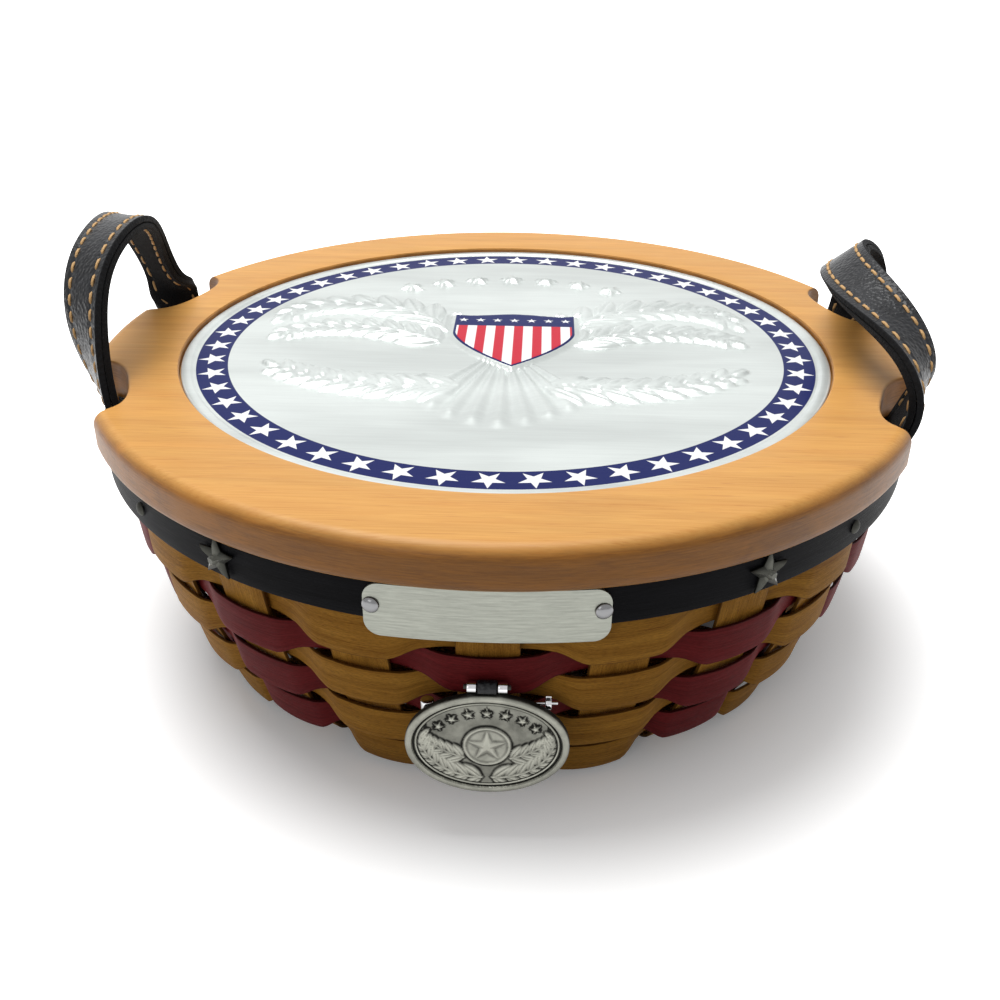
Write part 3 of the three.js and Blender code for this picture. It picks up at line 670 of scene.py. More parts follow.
class BASKET_OT_hoops(bpy.types.Operator):
    """Bend the black outer hoop and the plain inner hoop"""
    bl_idname = "basket.hoops"
    bl_label = "Hoops"

    def execute(self, context):
        black = surfaced("Black dyed wood", splint_surface, "black", 0.42, 0.03)
        gold = surfaced("Golden splint", splint_surface, "gold")
        outer = bend_hoop("rim_outer_hoop", HOOP_INNER, HOOP_OUTER, RIM_LEVEL, HOOP_TOP, 0.55, 0.2)
        finish_piece(outer, "basket", "black_wood", black, "outer_hoop")
        inner = bend_hoop("rim_inner_hoop", LINER_INNER, LINER_OUTER, LINER_BOTTOM, LINER_TOP, 0.4, 0.7)
        finish_piece(inner, "basket", "golden_splint", gold, "inner_hoop")
        return {"FINISHED"}


class BASKET_OT_tacks(bpy.types.Operator):
    """Drive the round-headed tacks through the hoop"""
    bl_idname = "basket.tacks"
    bl_label = "Tacks"

    def execute(self, context):
        pewter = surfaced("Dark tack", cast_surface, *TACK_FINISH)
        profile = [(0, 1.1), (0.6, 1.06), (1.15, 0.92), (1.65, 0.66), (2.0, 0.32), (2.1, 0.08), (2.05, 0),
                   (0.6, 0), (0.6, -2), (0, -2)]
        head = turned("tack", profile, 32)
        for i, angle in enumerate(TACKS):
            piece = linked(f"hoop_tack_head_{i + 1}", head.data.copy())
            put(piece, hoop_matrix(angle, HEAD_SEAT, TACK_LEVEL))
            finish_piece(piece, "basket", "antique_pewter", pewter, f"hoop_tack_{i + 1}")
        bpy.data.objects.remove(head)
        return {"FINISHED"}


# radius and height at the tips, then in the valleys, of a ridged star from its boss outward
STAR_LEVELS = np.array([
    (0.9, 3.0, 0.9, 3.0), (1.3, 2.7, 1.3, 2.6), (1.6, 2.1, 1.5, 1.7), (1.9, 2.0, 1.75, 1.3), (3.0, 1.95, 2.2, 1.05),
    (4.4, 1.8, 2.6, 0.85), (5.8, 1.3, 2.85, 0.7), (6.8, 0.7, 3.0, 0.6), (6.75, 0.3, 3.0, 0.25), (6.55, 0, 2.9, 0)])


def fold_of(turn):
    """How far a turn lies from a star's tip, 0, to its valley, 1."""
    return np.abs((turn / STAR_FOLD + 1) % 2 - 1)


def ridged(table, fold):
    """Radius and height of a ridged star between tip and valley, along its straight edges."""
    tip, tip_high, valley, valley_high = table.T
    along = fold * STAR_FOLD
    # straight line from tip to valley in polar form
    valley_y = valley * math.sin(STAR_FOLD)
    radius = tip * valley_y / (valley_y * np.cos(along) + (tip - valley * math.cos(STAR_FOLD)) * np.sin(along))
    return radius, tip_high + (valley_high - tip_high) * radius * np.sin(along) / valley_y


class BASKET_OT_stars(bpy.types.Operator):
    """Cast the two ridged star ornaments of the hoop"""
    bl_idname = "basket.stars"
    bl_label = "Star ornaments"

    def execute(self, context):
        pewter = surfaced("Dark pewter", cast_surface, 0.18, 0.24)
        for name, angle in STAR_ANGLES.items():
            star = primitive("circle", f"hoop_star_{name}", vertices=80, radius=1, fill_type="NGON")
            activate(star)
            bpy.ops.object.mode_set(mode="EDIT")
            bpy.ops.mesh.select_all(action="SELECT")
            for _ in STAR_LEVELS[1:]:
                bpy.ops.mesh.extrude_region_move(TRANSFORM_OT_translate={"value": (0, 0, -1)})
            bpy.ops.object.mode_set(mode="OBJECT")
            x, y, z = get_points(star).T
            turn = np.arctan2(x, y)
            radius, height = ridged(STAR_LEVELS[np.rint(-z).astype(int)], fold_of(turn))
            set_points(star, stacked(radius * np.sin(turn), radius * np.cos(turn), height) * MM)
            mark(star, "Depth", np.clip(height / 2.2, 0, 1))
            smooth(close_and_point_out(star), 32)
            put(star, hoop_matrix(angle, HEAD_SEAT, STAR_LEVEL))
            finish_piece(star, "basket", "antique_pewter", pewter, f"star_ornament_{name}")
        return {"FINISHED"}


class BASKET_OT_tag(bpy.types.Operator):
    """Cut and bend the bare metal tag, and set its two rivets"""
    bl_idname = "basket.tag"
    bl_label = "Tag and rivets"

    def execute(self, context):
        width, height, thick = TAG_SIZE
        half = width / 2
        centre = HOOP_OUTER + GAP - TAG_BEND

        def place(u, v):
            x = half * np.sin(math.pi * (u - 0.5))
            into = np.maximum(0, np.abs(x) - (half - TAG_CORNER))
            high = height / 2 - TAG_CORNER + np.sqrt(np.maximum(0, TAG_CORNER ** 2 - into ** 2))
            depth = TAG_BEND + thick / 2
            across = depth * np.sin(x / TAG_BEND)
            out = centre + depth * np.cos(x / TAG_BEND)
            return polar(np.degrees(np.arctan2(across, out)), np.hypot(across, out),
                         TAG_BOTTOM + height / 2 + (2 * v - 1) * high)

        tag = strip("front_tag", (96, 8), place, (width, height), thick, 0.22, 3)
        finish_piece(tag, "basket", "brushed_tag", surfaced("Brushed tag", tag_surface), "metal_tag")

        steel = surfaced("Rivet steel", rivet_surface)
        profile = [(0, 0.98), (0.5, 0.97), (1.0, 0.9), (1.45, 0.76), (1.85, 0.56), (2.15, 0.32), (2.32, 0.1),
                   (2.32, 0), (1.2, 0), (1.2, -3), (0, -3)]
        for name, sign in SIDES:
            x = sign * RIVET_SPREAD
            face = math.hypot(RIVET_SPREAD, centre + (TAG_BEND + thick) * math.cos(x / TAG_BEND))
            angle = math.atan2(x, centre + TAG_BEND * math.cos(x / TAG_BEND)) / DEG
            rivet = turned(f"front_rivet_{name}", profile, 40)
            mark(rivet, "Depth", np.clip(get_points(rivet)[:, 2] / MM / 0.35, 0, 1))
            put(rivet, hoop_matrix(angle, face + 0.25, RIVET_LEVEL))
            finish_piece(rivet, "basket", "bright_steel", steel, f"tag_rivet_{name}")
        return {"FINISHED"}


# Lid board

def notch_limit(angle):
    """Radius of the board's edge where the notches cut it back."""
    from_side = np.minimum(np.abs(np.abs(angle) - 90), 90)
    across = np.abs(from_side - NOTCH_ANGLE) * DEG
    share = np.clip(np.tan(np.minimum(across, 1.2)) * NOTCH_RADIUS / NOTCH_HALF, 0, 1)
    rise = 1 - (1 - share ** NOTCH_SQUARE) ** (1 / NOTCH_SQUARE)
    return np.where(share >= 1, LID_RADIUS + 1, NOTCH_RADIUS + (LID_RADIUS - NOTCH_RADIUS) * rise)


class BASKET_OT_lid_board(bpy.types.Operator):
    """Turn the lid board with its bullnose edge, plug and recess, and cut its four notches"""
    bl_idname = "basket.lid_board"
    bl_label = "Lid board"

    def execute(self, context):
        profile = [(0, PLUG_BOTTOM), (60, PLUG_BOTTOM), (PLUG_RADIUS - 0.6, PLUG_BOTTOM),
                   (PLUG_RADIUS, PLUG_BOTTOM + 0.6), (PLUG_RADIUS, LID_BOTTOM)]
        profile += [(LID_RADIUS - inset, LID_BOTTOM + up)
                    for inset, up in ((1.4, 0), (0.9, 0.15), (0.4, 0.7), (0, 1.7), (0, 3.5), (0, 5.5), (0, 7.6))]
        profile += [(LID_RADIUS + LID_ROUND * (math.cos(turn) - 1), LID_TOP + LID_ROUND * (math.sin(turn) - 1))
                    for turn in np.linspace(5, 90, 15) * DEG]
        profile += [(128, LID_TOP), (120, LID_TOP), (OPENING_RADIUS + 0.9, LID_TOP),
                    (OPENING_RADIUS + 0.35, LID_TOP - 0.12), (OPENING_RADIUS, LID_TOP - 0.6),
                    (OPENING_RADIUS, RECESS_FLOOR), (60, RECESS_FLOOR), (0, RECESS_FLOOR)]
        board = turned("lid_turned_board", profile, 1200, 30)
        x, y, z = get_points(board).T / MM
        radius = np.hypot(x, y)
        gaps = np.array([LID_TOP - z, z - LID_BOTTOM])
        rounded = (1 - np.sqrt(1 - np.clip(1 - gaps / NOTCH_EASE, 0, 1) ** 2)).sum(axis=0)
        limit = notch_limit(np.degrees(np.arctan2(x, -y))) - NOTCH_EASE * rounded
        above = (z > LID_BOTTOM - 0.01) & (radius > PLUG_RADIUS + 0.01)
        share = np.where(above, np.minimum(radius, limit), radius) / np.maximum(radius, 1e-6)
        set_points(board, stacked(x * share, y * share, z) * MM)
        smooth(board, 30)
        finish_piece(board, "lid", "natural_maple", surfaced("Natural maple", maple_surface), "lid_board")
        return {"FINISHED"}


# Lid plate and its relief, whose places in the plane are complex numbers

def ray(turn, reach):
    """A place by its turn and reach from the origin."""
    return cmath.rect(reach, turn * DEG)


def leaf(at, rise, centre, heading, long, wide, high):
    """Raises a pointed leaf with a sunk midrib out of the field."""
    here = (at - centre) * ray(-heading, 1)
    u, v = here.real / (long / 2), here.imag
    body = np.clip(1 - u ** 2, 0, 1)
    half = wide / 2 * body ** 0.8
    inside = (np.abs(u) < 1) & (np.abs(v) < half)
    share = np.where(inside, np.abs(v) / np.maximum(half, 1e-3), 1)
    domed = high * np.sqrt(np.clip(1 - share ** 2, 0, 1)) * body ** 0.35
    rib = 1 - 0.45 * np.exp(-(v / (wide * 0.07)) ** 2)
    return np.maximum(rise, np.where(inside, domed * rib, 0))


def star(at, rise, centre, radius, heading, foot, swell, steep):
    """Raises a five-pointed star with ridges: its edge stands up by foot, and its middle by swell more."""
    here = (at - centre) * ray(-heading, 1)
    fold = fold_of(np.angle(here)) * STAR_FOLD
    valley_y = STAR_VALLEY * math.sin(STAR_FOLD)
    edge = valley_y / (valley_y * np.cos(fold) + (1 - STAR_VALLEY * math.cos(STAR_FOLD)) * np.sin(fold))
    share = np.clip(1 - np.abs(here) / radius / edge, 0, 1)
    return np.maximum(rise, np.where(share > 0, foot + swell * np.clip(share * steep, 0, 1), 0))


def spray(at, rise, root, heading, bend, leaves, long, wide, high):
    """A curved laurel branch with leaves in pairs and one at its end."""
    for i in range(leaves):
        size = 1 - LEAF_TAPER * i / leaves
        for tip in (heading - LEAF_TURN, heading + LEAF_TURN):
            middle = root + ray(tip, long * size / 2)
            rise = leaf(at, rise, middle, tip, long * size, wide * size, high)
        twig = ray(heading, long * size * TWIG_SHARE)
        along = np.clip(((at - root) / twig).real, 0, 1)
        near = np.abs(at - root - along * twig)
        rise = np.maximum(rise, high * 0.7 * np.sqrt(np.clip(1 - (near / (wide * 0.14)) ** 2, 0, 1)))
        root += twig
        heading += bend
    return leaf(at, rise, root + ray(heading, long / 4), heading, long * 0.55, wide * 0.6, high)


def both_sides(at, rise, sprays):
    """Sprays at the right and their mirror images at the left."""
    for side in (-at.conjugate(), at):
        for values in sprays:
            rise = spray(side, rise, *values)
    return rise


def shield_span(at, border):
    """Distance inside the edge of a shield with a dipped top, which a border makes larger."""
    half_w, half_h = (half + border for half in SHIELD_HALF)
    here = at - complex(*SHIELD_CENTRE)
    u, v = here.real / half_w, here.imag / half_h
    top = 0.72 + 0.1 * np.cos(np.clip(u, -1, 1) * math.pi) + 0.18 * u ** 2
    side = 1 - (np.clip(0.1 - v, 0, None) / 1.15) ** SHIELD_POINT
    return np.minimum((top - v) * half_h, (side - np.abs(u)) * half_w * 0.8)


def plate_relief(at):
    """Embossing of the plate: shield, fan of rays, three laurel sprays at each side and a row of stars."""
    rise = both_sides(at, np.zeros(at.shape), SPRAYS)
    for i in range(PLATE_STARS):
        turn = 90 + (i - (PLATE_STARS - 1) / 2) * PLATE_STAR_PITCH
        rise = star(at, rise, ray(turn, PLATE_STAR_REACH), PLATE_STAR, turn, 0, 0.95, 1.8)
    fan = at - RAY_ROOT
    turn = np.angle(1j * fan, deg=True)
    long = RAY_LENGTH - 14 * np.abs(turn / 34) ** 1.5
    rays = RAY_HEIGHT * np.cos(turn * DEG * RAYS_ROUND / 2) ** 2 * np.clip((long - np.abs(fan)) / 5, 0, 1)
    rise = np.maximum(rise, rays * (np.abs(turn) < RAY_SPREAD) * np.clip(np.abs(fan) / 30, 0, 1))
    margin = shield_span(at, SHIELD_BORDER)
    raised = np.sin(np.clip(margin / 2.2, 0, 1) * math.pi / 2)
    return rise * (1 - np.clip(margin / 1.2 + 1, 0, 1)) + raised


class BASKET_OT_lid_plate(bpy.types.Operator):
    """Press the embossed plate that is let into the lid"""
    bl_idname = "basket.lid_plate"
    bl_label = "Lid plate"

    def execute(self, context):
        rim = [(PLATE_RADIUS, PLATE_BOTTOM), (PLATE_RADIUS, PLATE_TOP + 0.25), (PLATE_RADIUS - 0.25, PLATE_TOP + 0.52),
               (PLATE_RADIUS - 0.8, PLATE_TOP + BEAD_HEIGHT), (BEAD_INNER + 0.9, PLATE_TOP + BEAD_HEIGHT),
               (BEAD_INNER + 0.4, PLATE_TOP + 0.45), (BEAD_INNER, PLATE_TOP + 0.05), (BEAD_INNER - 0.5, PLATE_TOP)]
        field = [(radius, PLATE_TOP) for radius in np.arange(105, 92.5, -3)]
        field += [(radius, PLATE_TOP) for radius in np.arange(92, 0.4, -0.85)]
        profile = [(0, PLATE_BOTTOM), (60, PLATE_BOTTOM)] + rim + field + [(0, PLATE_TOP)]
        plate = turned("lid_embossed_plate", profile, 600, 40)
        x, y, z = get_points(plate).T / MM
        radius = np.hypot(x, y)
        top = (z > PLATE_TOP - 0.01) & (radius < RELIEF_EDGE)
        rise = plate_relief(x + 1j * y) * np.clip((RELIEF_EDGE - radius) / 3, 0, 1)
        set_points(plate, stacked(x, y, z + np.where(top, rise * settings("lid").relief / MM, 0)) * MM)
        mark(plate, "Depth", np.where(top, np.clip(rise, 0, 1), 0))
        finish_piece(plate, "lid", "embossed_tin", surfaced("Embossed tin", plate_surface), "lid_plate")
        return {"FINISHED"}


# Handles and their stitching

def unit(vectors):
    """Vectors of the same direction with length 1."""
    return vectors / np.linalg.norm(vectors, axis=-1, keepdims=True)


def arch_at(arch, share):
    """Centre, run, outward normal and width direction of a strap's arch at shares of its length."""
    share = np.asarray(share, float)
    side = arch["side"]

    def wave(weights, first=1):
        return sum(weight * np.sin((first + n) * math.pi * share) for n, weight in enumerate(weights))

    def slope(weights):
        return sum(weight * (n + 1) * math.pi * np.cos((n + 1) * math.pi * share) for n, weight in enumerate(weights))

    foot_x = FOOT_RADIUS * math.cos(FOOT_ANGLE * DEG)
    foot_y = FOOT_RADIUS * math.sin(FOOT_ANGLE * DEG)
    centre = stacked(side * (foot_x + wave(arch["out"])), wave(arch["splay"]) - foot_y * np.cos(math.pi * share),
                     FOOT_LEVEL + wave(arch["rise"]))
    along = unit(stacked(side * slope(arch["out"]), slope(arch["splay"]) + foot_y * math.pi * np.sin(math.pi * share),
                         slope(arch["rise"])))
    height = np.maximum(0, np.sin(math.pi * share))
    lean = ((90 + arch["tilt"]) * height ** arch["turn"] + wave(arch["twist"], 2)) * DEG
    bearing = np.arctan2(-foot_y * np.cos(math.pi * share), side * foot_x) + arch["yaw"] * DEG * height
    normal = stacked(np.cos(bearing) * np.cos(lean), np.sin(bearing) * np.cos(lean), np.sin(lean))
    normal = unit(normal - along * np.sum(normal * along, axis=-1, keepdims=True))
    return centre, along, normal, np.cross(along, normal)


def arch_run(arch):
    """Finely spaced shares of an arch and its real length up to each."""
    fine = np.linspace(0, 1, 2001)
    return fine, run_along(arch_at(arch, fine)[0])


def even_shares(arch, count):
    """Shares of an arch that are evenly spaced along its real length, and that length."""
    fine, run = arch_run(arch)
    return np.interp(np.linspace(0, run[-1], count), run, fine), run[-1]


def bend_strap(name, arch, middle):
    """One leather layer, pressed in along its two stitch lines on its shown face."""
    shares, run = even_shares(arch, STRAP_STEPS + 1)
    centre, along, normal, width = arch_at(arch, shares)
    outer = middle > 0
    facing = 1 if outer else -1

    def place(u, v):
        at = np.rint(u * STRAP_STEPS).astype(int)
        across = (v - 0.5) * STRAP_WIDTH * facing
        points = centre[at] + width[at] * across[:, None] + normal[at] * middle
        # the cut ends are level, just above the rim
        end = np.minimum(at, STRAP_STEPS - at)
        least = STRAP_CUT + 0.4 * end
        low = (end == 0) | ((points[:, 2] < least) & (end < 8))
        return points + along[at] * np.where(low, (least - points[:, 2]) / along[at, 2], 0)[:, None]

    strap = strip(name, (STRAP_STEPS, STRAP_COLUMNS), place, (run, STRAP_WIDTH), STRAP_LAYER,
                  0.45 if outer else 0.3, 3, 0.1 if outer else 0.5)
    press_lines(strap, arch, middle)
    return strap


def press_lines(strap, arch, middle):
    """Presses shallow grooves into a strap's shown face under the stitches."""
    centre, along, normal, width = arch_at(arch, even_shares(arch, 901)[0])
    points = get_points(strap) / MM
    nearest = np.concatenate([
        np.linalg.norm(block[:, None, :] - centre[None, :, :], axis=-1).argmin(axis=1)
        for block in np.split(points, range(2000, len(points), 2000))])
    offset = points - centre[nearest]
    across = np.abs(np.sum(offset * width[nearest], axis=-1))
    deep = np.sum(offset * normal[nearest], axis=-1)
    shown = deep * np.sign(middle) > abs(middle) + STRAP_LAYER * 0.3
    line = STRAP_WIDTH / 2 - settings("strap").margin / MM
    press = GROOVE_DEPTH * np.exp(-((across - line) / GROOVE_WIDTH) ** 2) * shown
    set_points(strap, (points - normal[nearest] * (press * np.sign(middle))[:, None]) * MM)


def sew(name, arch, face):
    """Two lines of stitches along one face of a strap, each stitch a small rounded bar."""
    chosen = settings("strap")
    stitch = chosen.stitch / MM
    pitch = stitch + chosen.stitch_gap / MM
    line = STRAP_WIDTH / 2 - chosen.margin / MM
    fine, lengths = arch_run(arch)
    run = lengths[-1]
    count = int((run - SEAM_FREE) / pitch)
    start = (run - count * pitch) / 2 + chosen.stitch_gap / MM / 2
    bar = primitive("cylinder", name + "_bar", vertices=8, radius=0.5, depth=1, end_fill_type="NGON")
    # the sides get a second row of points, and rings where the bar slims towards its ends
    edited(bar, "select_all", action="DESELECT")
    bar.data.polygons.foreach_set("select", [abs(p.normal.z) < 0.5 for p in bar.data.polygons])
    bpy.ops.object.mode_set(mode="EDIT")
    bpy.ops.mesh.subdivide(number_cuts=1)
    for level in (0.3, 0, -0.3):
        edited(bar, "bisect", plane_co=(0, 0, level), plane_no=(0, 0, 1))
    shape = get_points(bar)
    draw = random.Random(name)
    parts = []
    for side in (-1, 1):
        for i in range(count):
            part = linked(name, bar.data.copy())
            place_along = start + i * pitch + (shape[:, 2] + 0.5) * stitch
            share = np.interp(place_along, lengths, fine)
            centre, along, normal, width = arch_at(arch, share)
            end = np.abs(shape[:, 2]) * 2
            slim = np.where(end > 0.9, 0.45, 1.0)
            sink = np.where(end > 0.9, -0.5, np.where(end > 0.5, -0.05, 0.08))
            slant = draw.uniform(-THREAD_SLANT, THREAD_SLANT)
            across = side * line + shape[:, 0] * THREAD_WIDTH * slim + slant * shape[:, 2] * 2
            depth = face + np.sign(face) * (sink - 0.1) + shape[:, 1] * THREAD_THICK * slim
            set_points(part, (centre + width * across[:, None] + normal * depth[:, None]) * MM)
            parts.append(part)
    bpy.data.objects.remove(bar)
    return smooth(close_and_point_out(joined(name, parts)), 60)


class BASKET_OT_handles(bpy.types.Operator):
    """Bend the two layers of each strap handle and the strap ends under the hoop"""
    bl_idname = "basket.handles"
    bl_label = "Handles"

    def execute(self, context):
        leather = surfaced("Black leather", leather_surface)
        suede = surfaced("Suede", suede_surface)
        middle = STRAP_SEAM + STRAP_LAYER / 2
        spread = math.asin(STRAP_WIDTH / 2 / FOOT_RADIUS) / DEG
        for name, arch in ARCHES.items():
            for layer, depth, slot, material in (("outer", middle, "black_leather", leather),
                                                 ("lining", -middle, "suede_lining", suede)):
                strap = bend_strap(f"strap_{name}_{layer}", arch, depth)
                finish_piece(strap, f"handle_{name}", slot, material, f"handle_{name}_{layer}")
            for end, sign in (("front", -1), ("rear", 1)):
                azimuth = arch["side"] * (90 + sign * FOOT_ANGLE)

                def place(u, v):
                    return polar(azimuth + spread * (2 * u - 1), TAB_INNER + TAB_THICK / 2,
                                 TAB_BOTTOM + v * (HOOP_TOP - TAB_BOTTOM))

                tab = strip(f"strap_end_{name}_{end}", (16, 10), place, (STRAP_WIDTH, HOOP_TOP - TAB_BOTTOM),
                            TAB_THICK, 0.35)
                finish_piece(tab, "basket", "black_leather", leather, f"strap_tab_{name}_{end}")
        return {"FINISHED"}


class BASKET_OT_stitching(bpy.types.Operator):
    """Sew the two stitch lines on both faces of each handle"""
    bl_idname = "basket.stitching"
    bl_label = "Stitching"

    def execute(self, context):
        thread = surfaced("Waxed thread", thread_surface)
        face = STRAP_SEAM + STRAP_LAYER
        for name, arch in ARCHES.items():
            for layer, depth, slot in (("outer", face, "black_leather"), ("lining", -face, "suede_lining")):
                seam = sew(f"stitches_{name}_{layer}", arch, depth)
                finish_piece(seam, f"handle_{name}", slot, thread)
        return {"FINISHED"}


# Medallion and what hangs it

def smooth_path(points, per_span):
    """A smooth curve through points of a plane."""
    points = np.array(points, float)
    points = np.concatenate([[2 * points[0] - points[1]], points, [2 * points[-1] - points[-2]]])
    t = np.arange(per_span)[:, None] / per_span
    spans = [0.5 * (2 * b + (c - a) * t + (2 * a - 5 * b + 4 * c - d) * t ** 2 + (3 * b - a - 3 * c + d) * t ** 3)
             for a, b, c, d in zip(points, points[1:], points[2:], points[3:])]
    return np.concatenate([*spans, points[-2:-1]])


def lay_ribbon(name, path, thick, x, width, rounding):
    """A strip through points of the Y-Z plane, centred on x."""
    count = len(path)

    def place(u, v):
        at = np.rint(u * (count - 1)).astype(int)
        return stacked(x + (v - 0.5) * width, path[at, 0], path[at, 1])

    return strip(name, (count - 1, 4), place, (run_along(path)[-1], width), thick, rounding)


def curl(radius, start, end, steps):
    """Points of an arc round the medallion's pivot."""
    turns = np.linspace(start, end, steps + 1) * DEG
    return [(PIVOT_Y + radius * math.cos(t), PIVOT_Z + radius * math.sin(t)) for t in turns]


def round_rod(name, start, end, radius, rounding, sides=20):
    """A bar between two points, its ends rounded."""
    start, end = Vector(start), Vector(end)
    run = end - start
    rod = primitive("cylinder", name, vertices=sides, radius=radius, depth=run.length)
    round_edges(rod, rounding, 3, 30)
    apply_all(rod)
    turn = run.to_track_quat("Z", "Y").to_matrix().to_4x4()
    put(rod, Matrix.Scale(MM, 4) @ Matrix.Translation((start + end) / 2) @ turn)
    return smooth(rod)


class BASKET_OT_hanger(bpy.types.Operator):
    """Fold the leather hanger round a burgundy float and put its pivot through its eye"""
    bl_idname = "basket.hanger"
    bl_label = "Hanger"

    def execute(self, context):
        row = FIRST_ROW + ROW_PITCH

        def behind(down, lift):
            radius, z, out_r, out_z = shell(row + down)
            return (-(float(radius) + lift * float(out_r)), float(z) + lift * float(out_z))

        fold = [behind(FLOAT_BELOW + beyond, lift) for beyond, lift in
                ((-2.7, 1.3), (-0.9, 1.35), (1.1, 1.7), (1.8, 3.1), (0.9, 4.5), (-1.3, 4.75))]
        eye = curl(PIVOT_WIRE + GAP + HANGER_THICK / 2, 0, 262, 20)
        path = np.concatenate([smooth_path(fold, 5), eye])
        hanger = lay_ribbon("medallion_hanger", path, HANGER_THICK, 0, HANGER_WIDTH, 0.2)
        leather = surfaced("Black leather", leather_surface)
        finish_piece(hanger, "basket", "black_leather", leather, "leather_hanger")
        pivot = round_rod("medallion_pivot", (-PIVOT_HALF, PIVOT_Y, PIVOT_Z), (PIVOT_HALF, PIVOT_Y, PIVOT_Z),
                          PIVOT_WIRE, 0.25)
        # painted shade: the steel pivot gets the dark tack finish, for the shade between the bails
        dark = surfaced("Dark tack", cast_surface, *TACK_FINISH)
        finish_piece(pivot, "basket", "bright_steel", dark, "hanger_pivot")
        return {"FINISHED"}


def medal_relief(at):
    """Raised motif of the medallion: a star on a round shield, sprays at both sides and an arc of stars."""
    rise = both_sides(at, np.zeros(at.shape), MEDAL_SPRAYS)
    span = np.abs(at - MEDAL_MIDDLE)
    disc = np.clip((MEDAL_DISC - span) / 0.8, 0, 1)
    ring = np.clip(1 - np.abs(span - MEDAL_DISC + 0.6) / 0.5, 0, 1)
    rise = np.maximum(rise * (span > MEDAL_DISC), 0.35 * disc + 0.45 * np.sqrt(ring))
    rise = star(at, rise, MEDAL_MIDDLE, MEDAL_STAR, 90, 0.5, 0.5, 1.6)
    for turn in range(36, 145, 18):
        centre = complex(MEDAL_ARC[0] * math.cos(turn * DEG), MEDAL_ARC[1] * math.sin(turn * DEG) - 0.6)
        rise = star(at, rise, centre, MEDAL_SMALL_STAR, turn, 0.45, 0.5, 1.6)
    return rise


def medal_wear_and_shade(at, rise):
    """How bright a place is: worn bright where it stands proud, and dark where taller relief stands close by, which is
    patina in the hollows and painted shade.
    """
    near = np.zeros(at.shape)
    for turn in range(0, 360, 45):
        for reach in (0.35, 0.7):
            near = np.maximum(near, medal_relief(at + ray(turn, reach)))
    return 0.45 + 0.55 * rise - 0.6 * np.clip(near - rise, 0, 1)


class BASKET_OT_medallion(bpy.types.Operator):
    """Cast the oval medallion with its rims, sunk field and raised motif"""
    bl_idname = "basket.medallion"
    bl_label = "Medallion"

    def execute(self, context):
        mean = sum(MEDAL_HALF) / 2
        # inset from the outline and depth in front of the back
        outline = [(mean, 0), (10, 0), (1.0, 0), (0.35, 0.1), (0.05, 0.45), (0, 0.8), (0, 2.1), (0.08, 2.5),
                   (0.35, 2.82), (0.8, 2.98), (1.35, 3.0), (1.75, 2.9), (2.0, 2.55), (2.1, 2.2), (2.5, 2.14),
                   (2.62, 2.35), (2.85, 2.5), (3.1, 2.42), (3.25, 2.2)]
        field = [(inset, 2.15) for inset in np.arange(3.5, mean - 0.3, 0.26)]
        profile = [(mean - inset, depth) for inset, depth in outline + field] + [(0, 2.15)]
        medal = turned("medallion_oval", profile, 360, 40)
        x, y, depth = get_points(medal).T / MM
        turn = np.arctan2(y, x)
        inset = mean - np.hypot(x, y)
        grow = np.clip(inset / mean, 0, 1)
        x, z = ((half - inset * (1 + (half / mean - 1) * grow)) * wave
                for half, wave in zip(MEDAL_HALF, (np.cos(turn), np.sin(turn))))
        at = x + 1j * z
        on_field = (depth > 2.1) & (inset > MEDAL_FIELD)
        rise = medal_relief(at) * np.clip((inset - MEDAL_FIELD) / 0.6, 0, 1)
        height = settings("metal").medal_relief / MM
        raised = np.minimum(depth + np.where(on_field, rise * height, 0), MEDAL_THICK)
        set_points(medal, stacked(x, MEDAL_BACK - raised, MEDAL_LEVEL + z) * MM)
        rim = np.where(inset < 2.0, 0.6 * np.clip((raised - 1.9) / 0.7, 0, 1), np.clip((raised - 2.2) / 0.25, 0, 1))
        # the field's Depth holds wear on high places, and patina with painted shade beside taller relief
        mark(medal, "Depth", np.clip(np.where(on_field, medal_wear_and_shade(at, rise), rim), 0, 1))
        smooth(medal, 60)
        pewter = surfaced("Antique pewter", cast_surface, 0.3)
        finish_piece(medal, "medallion_swing", "antique_pewter", pewter, "medallion")
        return {"FINISHED"}


